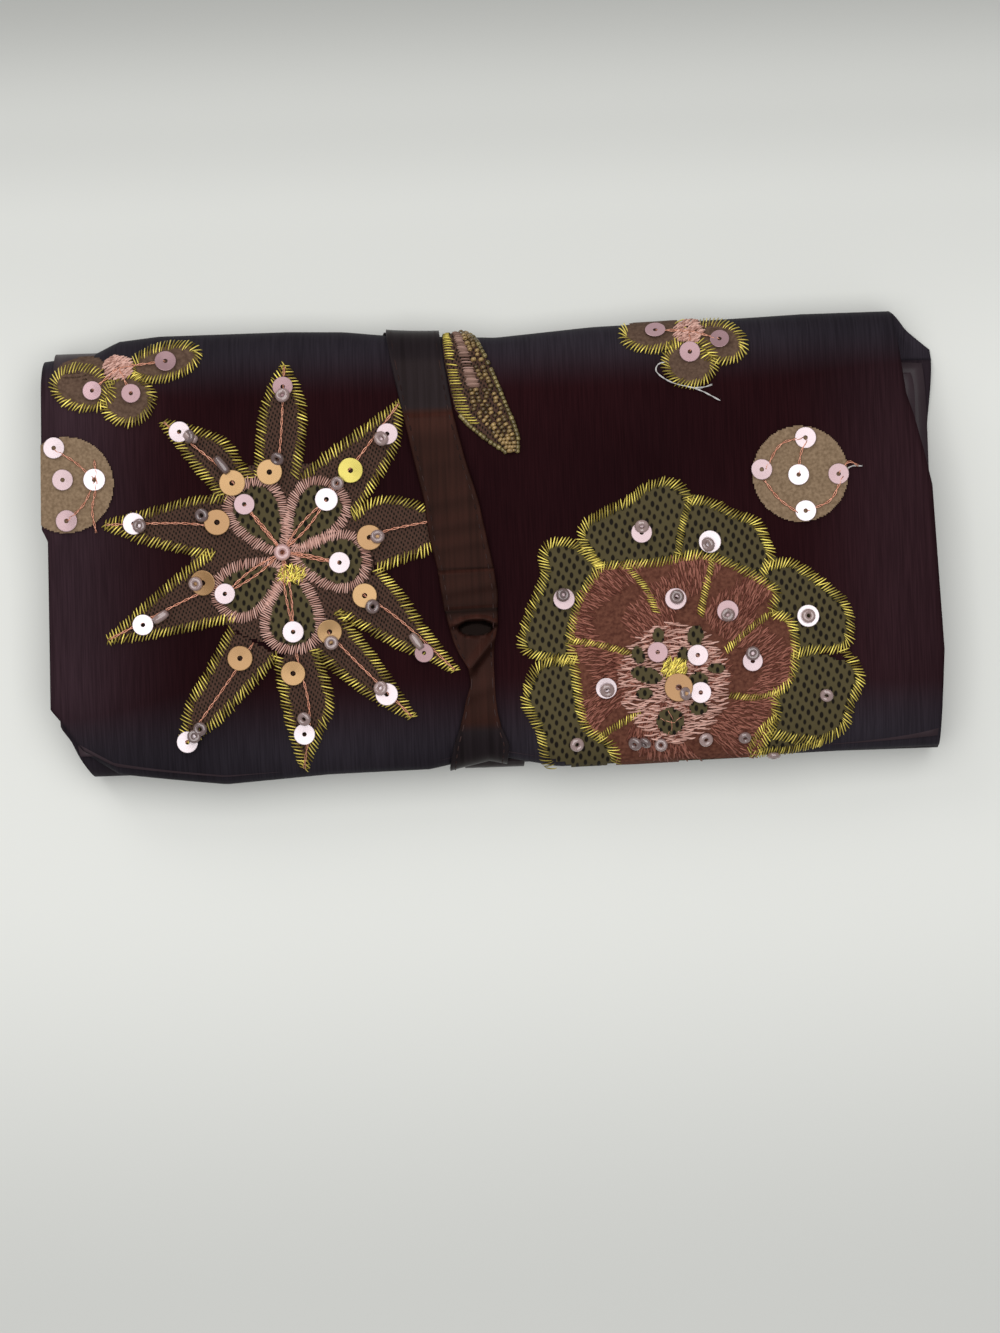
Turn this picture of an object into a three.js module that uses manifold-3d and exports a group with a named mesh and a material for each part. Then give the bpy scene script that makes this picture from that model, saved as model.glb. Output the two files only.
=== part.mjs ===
// Embroidered silk jewelry roll, folded shut and tied with a ribbon.
// A back panel carries a cover, which folds over it, and a short inner flap, which folds in first.
// Inside are two zip pockets, a slip pocket and a stuffed ring bar on a snap.
// Embroidered patches are sewn outside.
// Millimetres, +Z up. The closed roll lies on its back: X runs along it, +Y points to the cover's fold,
// and the origin is the middle of the surface that it lies on.
import * as THREE from 'three';
import { mergeVertices } from 'three/addons/utils/BufferGeometryUtils.js';
import Module from 'manifold-3d';

// Overall sizes
const rollWidth = 220;
const rollDepth = 107;
const flapReach = 46;
const sideSeam = 2.5;
const crown = 3;

// Cloth and wadding
const silk = 0.6;
const backSilk = 1.2;
const lining = 0.5;
const backWadding = 1.8;
const flapWadding = 1.4;
const coverEdgeWadding = 0.6;
const ply = 0.2;
const clearance = 0.3;
const foldGap = 0.7;

// Pockets
const pocketCloth = 0.5;
const pocketSeam = 2;
const slipPocketRise = 0.6;
const slipPocketFromFold = 3.5;
const slipPocketDepth = 33;
const coverPocketEdge = 4;
const flapPocketEdge = 3;

// Zips
const zipLength = 196;
const zipChain = 184;
const zipTapeWidth = 8;
const zipTapeThickness = 0.4;
const coilWidth = 2.2;
const coilHeight = 1.6;
const coilPitch = 3.2;
const coilTooth = 1.9;
const coilRoot = 1.1;
const chainGap = 0.9;
const chainClearance = 0.25;
const sliderPlate = 0.7;
const sliderWidth = 8;
const sliderLength = 9;
const sliderWeb = 0.4;
const sliderWebLength = 5.4;
const sliderLip = 0.6;
const sliderLipLength = 4.5;
const sliderTaper = 0.72;
const sliderShoulder = 2;
const bridgeHeight = 1.6;
const bridgeLength = 5.2;
const bridgeWidth = 1.2;
const bridgeWall = 0.9;
const bridgeStrap = 0.5;
const pullThickness = 0.7;
const pullLength = 15;
const pullEye = 5.6;
const pullBar = 1.2;
const pullTail = 4.2;
const pullRim = 0.9;
const pullSlack = 1.4;
const pullWaist = 2;
const pullRound = 3;
const stopLength = 2.2;
const coverZipFromFlap = 10.5;
const flapZipFromFold = 20.5;
const sliderRest = 84;

// Ring bar and snap
const barDiameter = 10;
const barLength = 150;
const barTip = 9;
const barY = 20.5;
const barTabWidth = 13;
const barTabRun = 24;
const barTabCloth = 0.7;
const snapAlongTab = 16.8;
const snapDiameter = 8;
const snapSocketHeight = 1.7;
const snapSocketShoulder = 1;
const snapSocketDraft = 0.4;
const snapHeadDiameter = 3.6;
const snapNeckDiameter = 2.9;
const snapWasherDiameter = 4.8;
const snapHeadHeight = 1.1;
const snapCapHeight = 0.9;
const snapFloor = 0.4;
const snapWall = 0.9;
const snapWasher = 0.12;

// Ribbon tie and its leaf-shaped end
const ribbonWidth = 13;
const ribbonThickness = 0.5;
const ribbonSewnY = 16;
const ribbonTopX = -20.5;
const ribbonDrift = 2;
const ribbonBottomX = -2;
const ribbonEndX = -6.6;
const dentDepth = 0.75;
const leafWidth = 11.6;
const leafThickness = 2.4;
const leafPoint = 0.3;
const leafSewn = 0.25;
const leafStart = 160;
const leafTipX = 3.6;
const leafTipY = 24;

// Embroidered patches
const patchThickness = 0.8;
const patchWrap = 35;
const starX = -52.4;
const starY = 0.8;
const starHubRadius = 20.5;
const starRayAngles = [88, 50, 6, -36, -54, -86, -119, -155, -191, -229];
const starRayReach = [46, 46, 43, 51, 51, 51, 52, 48, 44, 43];
const dahliaX = 46;
const dahliaY = -30;
const dahliaRadius = 43.5;
const dahliaLobes = 9;
const dahliaNotch = 0.14;
const roundPatchRadius = 12;
const roundRightX = 75.9;
const roundRightY = 15.6;
const roundLeftX = -106;
const roundLeftY = 19;
const posyRadius = 13;
const posyLobes = 4;
const posyNotch = 0.3;
const petalRound = 0.7;
const posyLeftX = -92;
const posyLeftY = 41.5;
const posyRightX = 50;
const posyRightY = 48;

// Levels of the closed stack, from the table up
const backTop = backSilk + ply + backWadding + ply + lining;
const slipPocketTop = backTop + clearance + slipPocketRise + pocketCloth;
const chainLow = clearance + sliderPlate + chainClearance;
const chainHigh = chainLow + coilHeight;
const zipTapeReach = chainGap / 2 + coilRoot + zipTapeWidth - pocketSeam;
const zipRise = chainHigh + chainClearance + sliderPlate + bridgeHeight;
const flapLow = slipPocketTop + clearance + zipRise;
const flapTop = flapLow + lining + ply + flapWadding + ply + silk;
const barTop = backTop + clearance + barDiameter;
const zipPocketRise = chainLow + (coilHeight - zipTapeThickness) / 2 - clearance - pocketCloth - clearance;
const coverLow = Math.max(flapTop, barTop) + clearance + zipPocketRise + pocketCloth + clearance;
const coverTop = coverLow + lining + ply + coverEdgeWadding + ply + silk;

// Places of the folds in the YZ section
const coverFoldRadius = coverTop / 2;
const flapFoldRadius = flapTop / 2;
const coverFoldY = rollDepth / 2 - coverFoldRadius;
const flapFoldY = -rollDepth / 2 + flapFoldRadius;
const coverHemRadius = (coverTop - coverLow) / 2;
const coverHemY = -rollDepth / 2 + coverHemRadius;
const flapHemRadius = (flapTop - flapLow) / 2;
const flapEdgeY = -rollDepth / 2 + flapReach;
const flapHemY = flapEdgeY - flapHemRadius;
const coverZipY = flapEdgeY + coverZipFromFlap;
const flapZipY = flapFoldY + flapZipFromFold;
const slipPocketLow = flapFoldY + slipPocketFromFold;
const slipPocketHigh = slipPocketLow + slipPocketDepth;

const arcStep = 15;
const acrossSteps = 14;
const flatSteps = 10;
const halfWidth = rollWidth / 2;
const wholeWidth = [-halfWidth, halfWidth];

const materials = {
  silk: new THREE.MeshStandardMaterial({ color: 0x2a1418, roughness: 0.55, metalness: 0 }),
  satin: new THREE.MeshStandardMaterial({ color: 0x3a2220, roughness: 0.35, metalness: 0 }),
  wadding: new THREE.MeshStandardMaterial({ color: 0xd8d4cc, roughness: 0.95, metalness: 0 }),
  tape: new THREE.MeshStandardMaterial({ color: 0x33201f, roughness: 0.8, metalness: 0 }),
  gilt: new THREE.MeshStandardMaterial({ color: 0xb08d3c, roughness: 0.3, metalness: 1 }),
  olive: new THREE.MeshStandardMaterial({ color: 0x45432c, roughness: 0.8, metalness: 0 }),
  taupe: new THREE.MeshStandardMaterial({ color: 0x6f5f50, roughness: 0.9, metalness: 0 }),
  gold: new THREE.MeshStandardMaterial({ color: 0x7d6a24, roughness: 0.45, metalness: 0.3 }),
};

const wasm = await Module();
wasm.setup();

const roll = new THREE.Group();

function piece(name, geometry, material, parent = roll) {
  const mesh = new THREE.Mesh(geometry, material);
  mesh.name = name;
  parent.add(mesh);
  return mesh;
}

// Booleans

function solidFrom(geometry) {
  const bare = geometry.clone();
  bare.deleteAttribute('normal');
  bare.deleteAttribute('uv');
  const merged = mergeVertices(bare, 1e-4);
  return new wasm.Manifold(new wasm.Mesh({
    numProp: 3,
    vertProperties: merged.attributes.position.array,
    triVerts: new Uint32Array(merged.index.array),
  }));
}

function geometryFrom(solid) {
  const mesh = solid.getMesh();
  const geometry = new THREE.BufferGeometry();
  geometry.setAttribute('position', new THREE.BufferAttribute(mesh.vertProperties, 3));
  geometry.setIndex(new THREE.BufferAttribute(mesh.triVerts, 1));
  geometry.computeVertexNormals();
  return geometry;
}

function joined(...geometries) {
  const solids = geometries.map(solidFrom);
  return geometryFrom(solids.reduce((whole, part) => whole.add(part)));
}

// Sheets: a closed solid between two surfaces that are sampled on one grid

function between(rows, columns, upper, lower) {
  const position = [];
  for (const surface of [upper, lower]) {
    for (const row of rows) {
      for (const column of columns) position.push(...surface(row, column));
    }
  }
  const at = (layer, i, j) => (layer * rows.length + i) * columns.length + j;
  const index = [];
  const quad = (a, b, c, d) => index.push(a, b, c, a, c, d);
  const lastRow = rows.length - 1;
  const lastColumn = columns.length - 1;
  for (let i = 0; i < lastRow; i++) {
    for (let j = 0; j < lastColumn; j++) {
      quad(at(0, i, j), at(0, i + 1, j), at(0, i + 1, j + 1), at(0, i, j + 1));
      quad(at(1, i, j), at(1, i, j + 1), at(1, i + 1, j + 1), at(1, i + 1, j));
    }
    quad(at(1, i, 0), at(1, i + 1, 0), at(0, i + 1, 0), at(0, i, 0));
    quad(at(0, i, lastColumn), at(0, i + 1, lastColumn), at(1, i + 1, lastColumn), at(1, i, lastColumn));
  }
  for (let j = 0; j < lastColumn; j++) {
    quad(at(0, 0, j), at(0, 0, j + 1), at(1, 0, j + 1), at(1, 0, j));
    quad(at(1, lastRow, j), at(1, lastRow, j + 1), at(0, lastRow, j + 1), at(0, lastRow, j));
  }
  const geometry = new THREE.BufferGeometry();
  geometry.setAttribute('position', new THREE.Float32BufferAttribute(position, 3));
  geometry.setIndex(index);
  geometry.computeVertexNormals();
  return geometry;
}

function steps(from, to, count) {
  return Array.from({ length: count + 1 }, (unused, k) => from + ((to - from) * k) / count);
}

// Points of a YZ profile, each with its outward normal. An arc's angle is measured from straight down,
// and side says whether the arc bulges towards +Y or -Y.
function arc(centreY, centreZ, radius, side, fromDegrees, toDegrees) {
  const count = Math.max(1, Math.round(Math.abs(toDegrees - fromDegrees) / arcStep));
  return steps(fromDegrees, toDegrees, count).map((degrees) => {
    const angle = THREE.MathUtils.degToRad(degrees);
    const ny = side * Math.sin(angle);
    const nz = -Math.cos(angle);
    return { y: centreY + radius * ny, z: centreZ + radius * nz, ny, nz };
  });
}

function level(fromY, toY, z, nz, count) {
  return steps(fromY, toY, count).map((y) => ({ y, z, ny: 0, nz }));
}

const noRise = () => 0;

// A cloth of one thickness along a profile. The profile runs so that its outward side is up or towards +Y
// where it runs towards +Y or down.
function cloth(profile, thickness, across = wholeWidth, rise = noRise) {
  const outer = (x, p) => [x, p.y, p.z + rise(x, p.y)];
  const inner = (x, p) => [x, p.y - p.ny * thickness, p.z - p.nz * thickness + rise(x, p.y)];
  return between(across, profile, outer, inner);
}

// An outline given a thickness
function raisedFrom(outline, depth, curveSegments = 4) {
  return new THREE.ExtrudeGeometry(outline, { depth, curveSegments, bevelEnabled: false });
}

// A flat rectangular ply with softly rounded corners
function flatPly(lowY, highY, lowZ, thickness, inset = sideSeam) {
  const x = halfWidth - inset;
  const corner = sideSeam;
  const outline = new THREE.Shape();
  outline.moveTo(-x + corner, lowY);
  outline.lineTo(x - corner, lowY);
  outline.quadraticCurveTo(x, lowY, x, lowY + corner);
  outline.lineTo(x, highY - corner);
  outline.quadraticCurveTo(x, highY, x - corner, highY);
  outline.lineTo(-x + corner, highY);
  outline.quadraticCurveTo(-x, highY, -x, highY - corner);
  outline.lineTo(-x, lowY + corner);
  outline.quadraticCurveTo(-x, lowY, -x + corner, lowY);
  return raisedFrom(outline, thickness, 3).translate(0, 0, lowZ);
}

// Folds: each hinge line lies an eighth of a turn round the fold, in the middle of the cloth

const eighth = 45;
const cutBack = (radius) => THREE.MathUtils.radToDeg(foldGap / radius);

function foldPlies(name, centreY, radius, side) {
  const gap = cutBack(radius);
  const from = 180 - eighth - gap;
  const to = eighth + gap;
  const strip = (outside, thickness) => {
    const profile = arc(centreY, radius, outside, side, side > 0 ? from : to, side > 0 ? to : from);
    return cloth(profile, thickness);
  };
  piece(`${name}_silk`, strip(radius, silk), materials.silk);
  piece(`${name}_lining`, strip(radius - silk - ply, lining), materials.satin);
}

// Ribbon: one strip wound round the closed roll

function crownRise(x, y) {
  const u = x / halfWidth;
  const middle = (coverHemY + coverFoldY) / 2;
  const v = (y - middle) / ((coverFoldY - coverHemY) / 2);
  if (Math.abs(u) >= 1 || Math.abs(v) >= 1) return 0;
  return crown * (1 - u ** 4) * (1 - v ** 4);
}

// A route round the closed roll: the points of a profile, lifted off it, with X changing evenly along them
function routed(points, lift, fromX, toX) {
  return points.map((p, k) => {
    const x = fromX + ((toX - fromX) * k) / (points.length - 1);
    const rise = p.nz > 0.99 ? crownRise(x, p.y) : 0;
    return { ...p, x, y: p.y + p.ny * lift, z: p.z + p.nz * lift + rise };
  });
}

const ribbonFirstX = ribbonTopX - ribbonDrift;
const ribbonSewnX = ribbonFirstX - ribbonDrift;
const leafGap = THREE.MathUtils.radToDeg(clearance / coverFoldRadius);

// The strip clears the patches on the front, and lies in the dent that it presses into the back.
function ribbonGeometry() {
  const snug = clearance + ribbonThickness;
  const front = clearance + patchThickness + snug;
  const backZ = dentDepth - clearance / 2 - ribbonThickness;
  const overFold = (to) => arc(coverFoldY, coverFoldRadius, coverFoldRadius, 1, arcStep, to);
  const hem = arc(coverHemY, coverTop - coverHemRadius, coverHemRadius, -1, 135, 90);
  const underFold = arc(flapFoldY, flapFoldRadius, flapFoldRadius, -1, 90, arcStep);
  const route = [
    ...routed(level(ribbonSewnY, coverFoldY, backZ, -1, 3), 0, ribbonSewnX, ribbonFirstX),
    ...routed(overFold(180 - arcStep), snug, ribbonFirstX, ribbonTopX),
    ...routed(level(coverFoldY, coverHemY, coverTop, 1, flatSteps), front, ribbonTopX, ribbonBottomX),
    ...routed(hem, snug, ribbonBottomX, ribbonBottomX),
    ...routed(underFold, snug, ribbonBottomX, ribbonBottomX),
    ...routed(level(flapFoldY, coverFoldY, backZ, -1, 6), 0, ribbonBottomX, ribbonEndX),
    ...routed(overFold(leafStart - leafGap), snug, ribbonEndX, ribbonEndX),
  ];
  const sides = [-ribbonWidth / 2, ribbonWidth / 2];
  const outer = (side, p) => [p.x + side, p.y, p.z];
  const inner = (side, p) => [p.x + side, p.y - p.ny * ribbonThickness, p.z - p.nz * ribbonThickness];
  return between(sides, route, inner, outer);
}

// The channel that the ribbon presses into the back panel, cut from below
function dentGeometry() {
  const half = ribbonWidth / 2 + clearance;
  const below = 1;
  const run = (fromY, toY, fromX, toX) => {
    const outline = new THREE.Shape();
    outline.moveTo(fromX - half, fromY);
    outline.lineTo(fromX + half, fromY);
    outline.lineTo(toX + half, toY);
    outline.lineTo(toX - half, toY);
    return raisedFrom(outline, dentDepth + below).translate(0, 0, -below);
  };
  const slope = (ribbonEndX - ribbonBottomX) / (coverFoldY - flapFoldY);
  const past = coverFoldRadius;
  const firstDrift = (ribbonDrift / (coverFoldY - ribbonSewnY)) * past;
  const first = run(ribbonSewnY - clearance, coverFoldY + past, ribbonSewnX, ribbonFirstX + firstDrift);
  const drift = slope * past;
  const second = run(flapFoldY - past, coverFoldY + past, ribbonBottomX - drift, ribbonEndX + drift);
  return joined(first, second);
}

// Back panel

function buildBack() {
  const flapEnd = eighth - cutBack(flapFoldRadius);
  const coverEnd = eighth - cutBack(coverFoldRadius);
  const flapSide = arc(flapFoldY, flapFoldRadius, flapFoldRadius, -1, flapEnd, 0);
  const coverSide = arc(coverFoldY, coverFoldRadius, coverFoldRadius, 1, 0, coverEnd);
  const profile = [...flapSide, ...coverSide];
  const outer = (x, p) => [x, p.y, p.z];
  const inner = (x, p) => [x, p.y - p.ny * backSilk, p.z - p.nz * backSilk];
  const panel = solidFrom(between(wholeWidth, profile, inner, outer));
  piece('back_silk', geometryFrom(panel.subtract(solidFrom(dentGeometry()))), materials.silk);
  const waddingLow = backSilk + ply;
  piece('back_wadding', flatPly(flapFoldY, coverFoldY, waddingLow, backWadding), materials.wadding);
  piece('back_lining', flatPly(flapFoldY, coverFoldY, backTop - lining, lining, 0), materials.satin);
  const pocket = pocketCover(slipPocketLow, slipPocketHigh, slipPocketRise, -1);
  piece('back_slip_pocket', pocket, materials.satin).position.z = backTop + clearance;
}

// A pocket's cloth with the seam allowance that holds it off the lining along its sides and its closed edge.
// closedSide is -1 or +1 for the closed edge's end of Y. The seam stands on z = 0.
function pocketCover(lowY, highY, rise, closedSide) {
  const x = halfWidth - sideSeam - pocketSeam;
  const sheet = new THREE.BoxGeometry(2 * x, highY - lowY, pocketCloth);
  sheet.translate(0, (lowY + highY) / 2, rise + pocketCloth / 2);
  const sideways = new THREE.BoxGeometry(pocketSeam, highY - lowY, rise + pocketCloth / 2);
  sideways.translate(0, (lowY + highY) / 2, (rise + pocketCloth / 2) / 2);
  const left = sideways.clone().translate(-x + pocketSeam / 2, 0, 0);
  const right = sideways.clone().translate(x - pocketSeam / 2, 0, 0);
  const foot = new THREE.BoxGeometry(2 * x, pocketSeam, rise + pocketCloth / 2);
  const footY = closedSide < 0 ? lowY + pocketSeam / 2 : highY - pocketSeam / 2;
  foot.translate(0, footY, (rise + pocketCloth / 2) / 2);
  return joined(sheet, left, right, foot);
}

// Cover

const across = steps(-halfWidth, halfWidth, acrossSteps);
const coverFlat = level(coverHemY, coverFoldY, coverTop, 1, flatSteps);

function buildCover() {
  const hem = arc(coverHemY, coverTop - coverHemRadius, coverHemRadius, -1, 0, 180 - arcStep);
  const foldEnd = 180 - eighth + cutBack(coverFoldRadius);
  const fold = arc(coverFoldY, coverFoldRadius, coverFoldRadius, 1, 180 - arcStep, foldEnd);
  const profile = [...hem, ...coverFlat, ...fold];
  piece('cover_silk', cloth(profile, silk, across, crownRise), materials.silk);
  const waddingLow = coverLow + lining + ply;
  const waddingEdge = halfWidth - sideSeam;
  const waddingWidth = [-waddingEdge, ...across.slice(1, -1), waddingEdge];
  const top = (x, p) => [x, p.y, coverTop - silk - ply + crownRise(x, p.y)];
  const bottom = (x, p) => [x, p.y, waddingLow];
  piece('cover_wadding', between(waddingWidth, coverFlat, top, bottom), materials.wadding);
  piece('cover_lining', flatPly(coverHemY + clearance, coverFoldY, coverLow, lining, 0), materials.satin);
  zipGroup('cover', coverZipY, coverLow, 1);
  const towardFold = pocketCover(-coverFoldY + coverPocketEdge, -coverZipY - zipTapeReach, zipPocketRise, -1);
  const towardHem = pocketCover(-coverZipY + zipTapeReach, -coverHemY - coverPocketEdge, zipPocketRise, 1);
  hangPockets('cover', towardFold, towardHem, coverLow);
}

// Pockets hang from a lining whose face is turned down, as their zip does.
function hangPockets(name, towardFold, towardHem, lowZ) {
  const turned = new THREE.Group();
  turned.rotation.x = Math.PI;
  turned.position.z = lowZ - clearance;
  roll.add(turned);
  piece(`${name}_pocket_fold_side`, towardFold, materials.satin, turned);
  piece(`${name}_pocket_hem_side`, towardHem, materials.satin, turned);
}

// Inner flap

function buildFlap() {
  const foldEnd = 180 - eighth + cutBack(flapFoldRadius);
  const fold = arc(flapFoldY, flapFoldRadius, flapFoldRadius, -1, foldEnd, 180);
  const hem = arc(flapHemY, flapTop - flapHemRadius, flapHemRadius, 1, 180, 0);
  piece('flap_silk', cloth([...fold, ...hem], silk), materials.silk);
  const liningEdge = flapHemY - clearance;
  const waddingLow = flapLow + lining + ply;
  piece('flap_wadding', flatPly(flapFoldY, liningEdge, waddingLow, flapWadding), materials.wadding);
  piece('flap_lining', flatPly(flapFoldY, liningEdge, flapLow, lining, 0), materials.satin);
  zipGroup('flap', flapZipY, flapLow, -1);
  const hemEdge = -flapHemY + flapPocketEdge - clearance;
  const towardHem = pocketCover(hemEdge, -flapZipY - zipTapeReach, zipPocketRise, -1);
  const towardFold = pocketCover(-flapZipY + zipTapeReach, -flapFoldY - flapPocketEdge, zipPocketRise, 1);
  hangPockets('flap', towardFold, towardHem, flapLow);
}

// Zips, built lining side down with the chain along X, then turned to hang from their lining

function zipTape(side) {
  const inner = chainGap / 2;
  const teeth = Math.floor(zipChain / coilPitch);
  const comb = new THREE.Shape();
  const start = (-teeth * coilPitch) / 2;
  comb.moveTo(start, side * (inner + coilWidth));
  for (let k = 0; k < teeth; k++) {
    const x = start + k * coilPitch;
    comb.lineTo(x, side * (inner + coilRoot));
    comb.lineTo(x + (coilPitch - coilTooth) / 2, side * (inner + coilRoot));
    comb.lineTo(x + (coilPitch - coilTooth) / 2, side * inner);
    comb.lineTo(x + (coilPitch + coilTooth) / 2, side * inner);
    comb.lineTo(x + (coilPitch + coilTooth) / 2, side * (inner + coilRoot));
  }
  comb.lineTo(-start, side * (inner + coilRoot));
  comb.lineTo(-start, side * (inner + coilWidth));
  const coil = raisedFrom(comb, coilHeight).translate(0, 0, chainLow);
  const tape = new THREE.BoxGeometry(zipLength, zipTapeWidth, zipTapeThickness);
  const tapeY = side * (inner + coilRoot + zipTapeWidth / 2);
  tape.translate(0, tapeY, chainLow + coilHeight / 2);
  return joined(coil, tape);
}

function sliderOutline() {
  const half = sliderWidth / 2;
  const tail = half * sliderTaper;
  const shoulder = sliderLength / 2 - sliderShoulder;
  const outline = new THREE.Shape();
  outline.moveTo(-sliderLength / 2, -tail);
  outline.quadraticCurveTo(0, -tail, shoulder, -half);
  outline.quadraticCurveTo(sliderLength / 2, -half, sliderLength / 2, 0);
  outline.quadraticCurveTo(sliderLength / 2, half, shoulder, half);
  outline.quadraticCurveTo(0, tail, -sliderLength / 2, tail);
  return outline;
}

function sliderGeometry() {
  const plate = raisedFrom(sliderOutline(), sliderPlate);
  const lower = plate.clone().translate(0, 0, clearance);
  const upperLow = chainHigh + chainClearance;
  const upper = plate.clone().translate(0, 0, upperLow);
  const webHeight = upperLow - clearance;
  const web = new THREE.BoxGeometry(sliderWebLength, sliderWeb, webHeight);
  web.translate(0, 0, clearance + webHeight / 2 + sliderPlate / 2);
  const lipY = chainGap / 2 + coilWidth + chainClearance + sliderLip / 2;
  const lipHeight = chainClearance + (coilHeight - zipTapeThickness) / 2 - chainClearance;
  const lips = [];
  for (const side of [-1, 1]) {
    const lip = new THREE.BoxGeometry(sliderLipLength, sliderLip, lipHeight);
    lips.push(lip.clone().translate(0, side * lipY, upperLow - lipHeight / 2));
    lips.push(lip.clone().translate(0, side * lipY, clearance + sliderPlate + lipHeight / 2));
  }
  return joined(lower, upper, web, ...lips, bridgeGeometry(upperLow + sliderPlate));
}

// The arch on the slider that the pull's eye is threaded on
function bridgeGeometry(baseZ) {
  const half = bridgeLength / 2;
  const foot = -sliderPlate / 2;
  const arch = new THREE.Shape();
  arch.moveTo(-half, foot);
  arch.lineTo(-half + bridgeWall, foot);
  arch.lineTo(-half + bridgeWall, bridgeHeight - bridgeStrap);
  arch.lineTo(half - bridgeWall, bridgeHeight - bridgeStrap);
  arch.lineTo(half - bridgeWall, foot);
  arch.lineTo(half, foot);
  arch.quadraticCurveTo(half, bridgeHeight, half - bridgeWall, bridgeHeight);
  arch.lineTo(-half + bridgeWall, bridgeHeight);
  arch.quadraticCurveTo(-half, bridgeHeight, -half, foot);
  return raisedFrom(arch, bridgeWidth).rotateX(Math.PI / 2).translate(0, bridgeWidth / 2, baseZ);
}

// The pull lies along the chain; its eye's bar runs under the arch, at the origin.
function pullGeometry() {
  const half = pullEye / 2;
  const tail = pullTail / 2;
  const eyeLength = bridgeLength / 2 + pullSlack;
  const waist = -eyeLength - pullWaist;
  const round = -pullLength + pullRound;
  const outline = new THREE.Shape();
  outline.moveTo(pullBar / 2, -half);
  outline.lineTo(pullBar / 2, half);
  outline.lineTo(-eyeLength, half);
  outline.quadraticCurveTo(waist, tail / 2, round, tail);
  outline.quadraticCurveTo(-pullLength - pullRim, 0, round, -tail);
  outline.quadraticCurveTo(waist, -tail / 2, -eyeLength, -half);
  const eye = new THREE.Path();
  eye.moveTo(-pullBar / 2, half - pullRim);
  eye.lineTo(-pullBar / 2, -half + pullRim);
  eye.lineTo(-eyeLength, -half + pullRim);
  eye.lineTo(-eyeLength, half - pullRim);
  outline.holes.push(eye);
  return raisedFrom(outline, pullThickness, 5);
}

// hemSide is the side of the chain, before the zip is turned over, that is nearer its panel's hem.
function zipGroup(name, y, lowZ, hemSide) {
  const turned = new THREE.Group();
  turned.rotation.x = Math.PI;
  turned.position.set(0, y, lowZ);
  roll.add(turned);
  piece(`${name}_zip_tape_hem_side`, zipTape(hemSide), materials.tape, turned);
  piece(`${name}_zip_tape_fold_side`, zipTape(-hemSide), materials.tape, turned);
  const tapeTop = chainLow + coilHeight / 2 + zipTapeThickness / 2;
  const stopHeight = chainHigh - tapeTop - clearance;
  const stopX = (Math.floor(zipChain / coilPitch) * coilPitch) / 2 + clearance + stopLength / 2;
  for (const [end, side] of [['open', -1], ['closed', 1]]) {
    const stop = new THREE.BoxGeometry(stopLength, 2 * coilWidth + chainGap, stopHeight);
    stop.translate(side * stopX, 0, tapeTop + clearance + stopHeight / 2);
    piece(`${name}_zip_${end}_stop`, stop, materials.gilt, turned);
  }
  piece(`${name}_zip_slider`, sliderGeometry(), materials.gilt, turned).position.x = sliderRest;
  const pull = piece(`${name}_zip_pull`, pullGeometry(), materials.gilt, turned);
  const pullRoom = bridgeHeight - bridgeStrap - pullThickness;
  pull.position.set(sliderRest, 0, chainHigh + chainClearance + sliderPlate + pullRoom / 2);
}

// Ring bar

function lathe(points, segments) {
  const profile = points.map(([r, z]) => new THREE.Vector2(r, z));
  return new THREE.LatheGeometry(profile, segments);
}

function barGeometry() {
  const radius = barDiameter / 2;
  const half = barLength / 2;
  const tipSteps = 4;
  const points = [];
  for (let k = 0; k <= tipSteps; k++) {
    const angle = (Math.PI / 2) * (k / tipSteps);
    points.push([radius * Math.sin(angle), -half + barTip * (1 - Math.cos(angle))]);
  }
  const mirrored = points.map(([r, z]) => [r, -z]).reverse();
  return lathe([...points, ...mirrored], 16).rotateZ(-Math.PI / 2);
}

// A tab of cloth that runs from the bar's end down to the panel in an S
function tabGeometry(fromZ, toZ, run, flatRun) {
  const count = 6;
  const route = steps(0, 1, count).map((t) => {
    const ease = t * t * (3 - 2 * t);
    return [t * (run - flatRun), fromZ + (toZ - fromZ) * ease];
  });
  route.push([run, toZ]);
  const sides = [-barTabWidth / 2, barTabWidth / 2];
  const top = (x, y) => [x[0], y, x[1] + barTabCloth];
  const bottom = (x, y) => [x[0], y, x[1]];
  return between(route, sides, top, bottom);
}

function buildRingBar() {
  const barZ = backTop + clearance + barDiameter / 2;
  const bar = piece('ring_bar', barGeometry(), materials.satin);
  bar.position.set(0, barY, barZ);
  const barEnd = barLength / 2 + clearance;
  const tabZ = barZ - barTabCloth / 2;
  const anchorZ = backTop + clearance;
  const anchorGeometry = tabGeometry(tabZ, anchorZ, barTabRun, barTabRun / 2);
  const anchor = piece('ring_bar_anchor_tab', anchorGeometry, materials.satin);
  anchor.rotation.z = Math.PI;
  anchor.position.set(-barEnd, barY, 0);
  const snapZ = backTop + clearance + snapSocketHeight + clearance;
  const snapTabGeometry = tabGeometry(tabZ, snapZ, barTabRun, barTabRun / 2);
  const snapTab = piece('ring_bar_snap_tab', snapTabGeometry, materials.satin);
  snapTab.position.set(barEnd, barY, 0);
  const snapX = barEnd + snapAlongTab;
  const socket = piece('snap_socket', socketGeometry(), materials.gilt);
  socket.position.set(snapX, barY, backTop + clearance);
  const stud = piece('snap_stud', studGeometry(), materials.gilt);
  stud.position.set(snapX, barY, snapZ - clearance / 2);
  const cap = piece('snap_cap', capGeometry(), materials.gilt);
  cap.position.set(snapX, barY, snapZ + barTabCloth + clearance / 2);
}

const snapSegments = 20;

function turnedUp(points) {
  return lathe(points, snapSegments).rotateX(Math.PI / 2);
}

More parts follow.
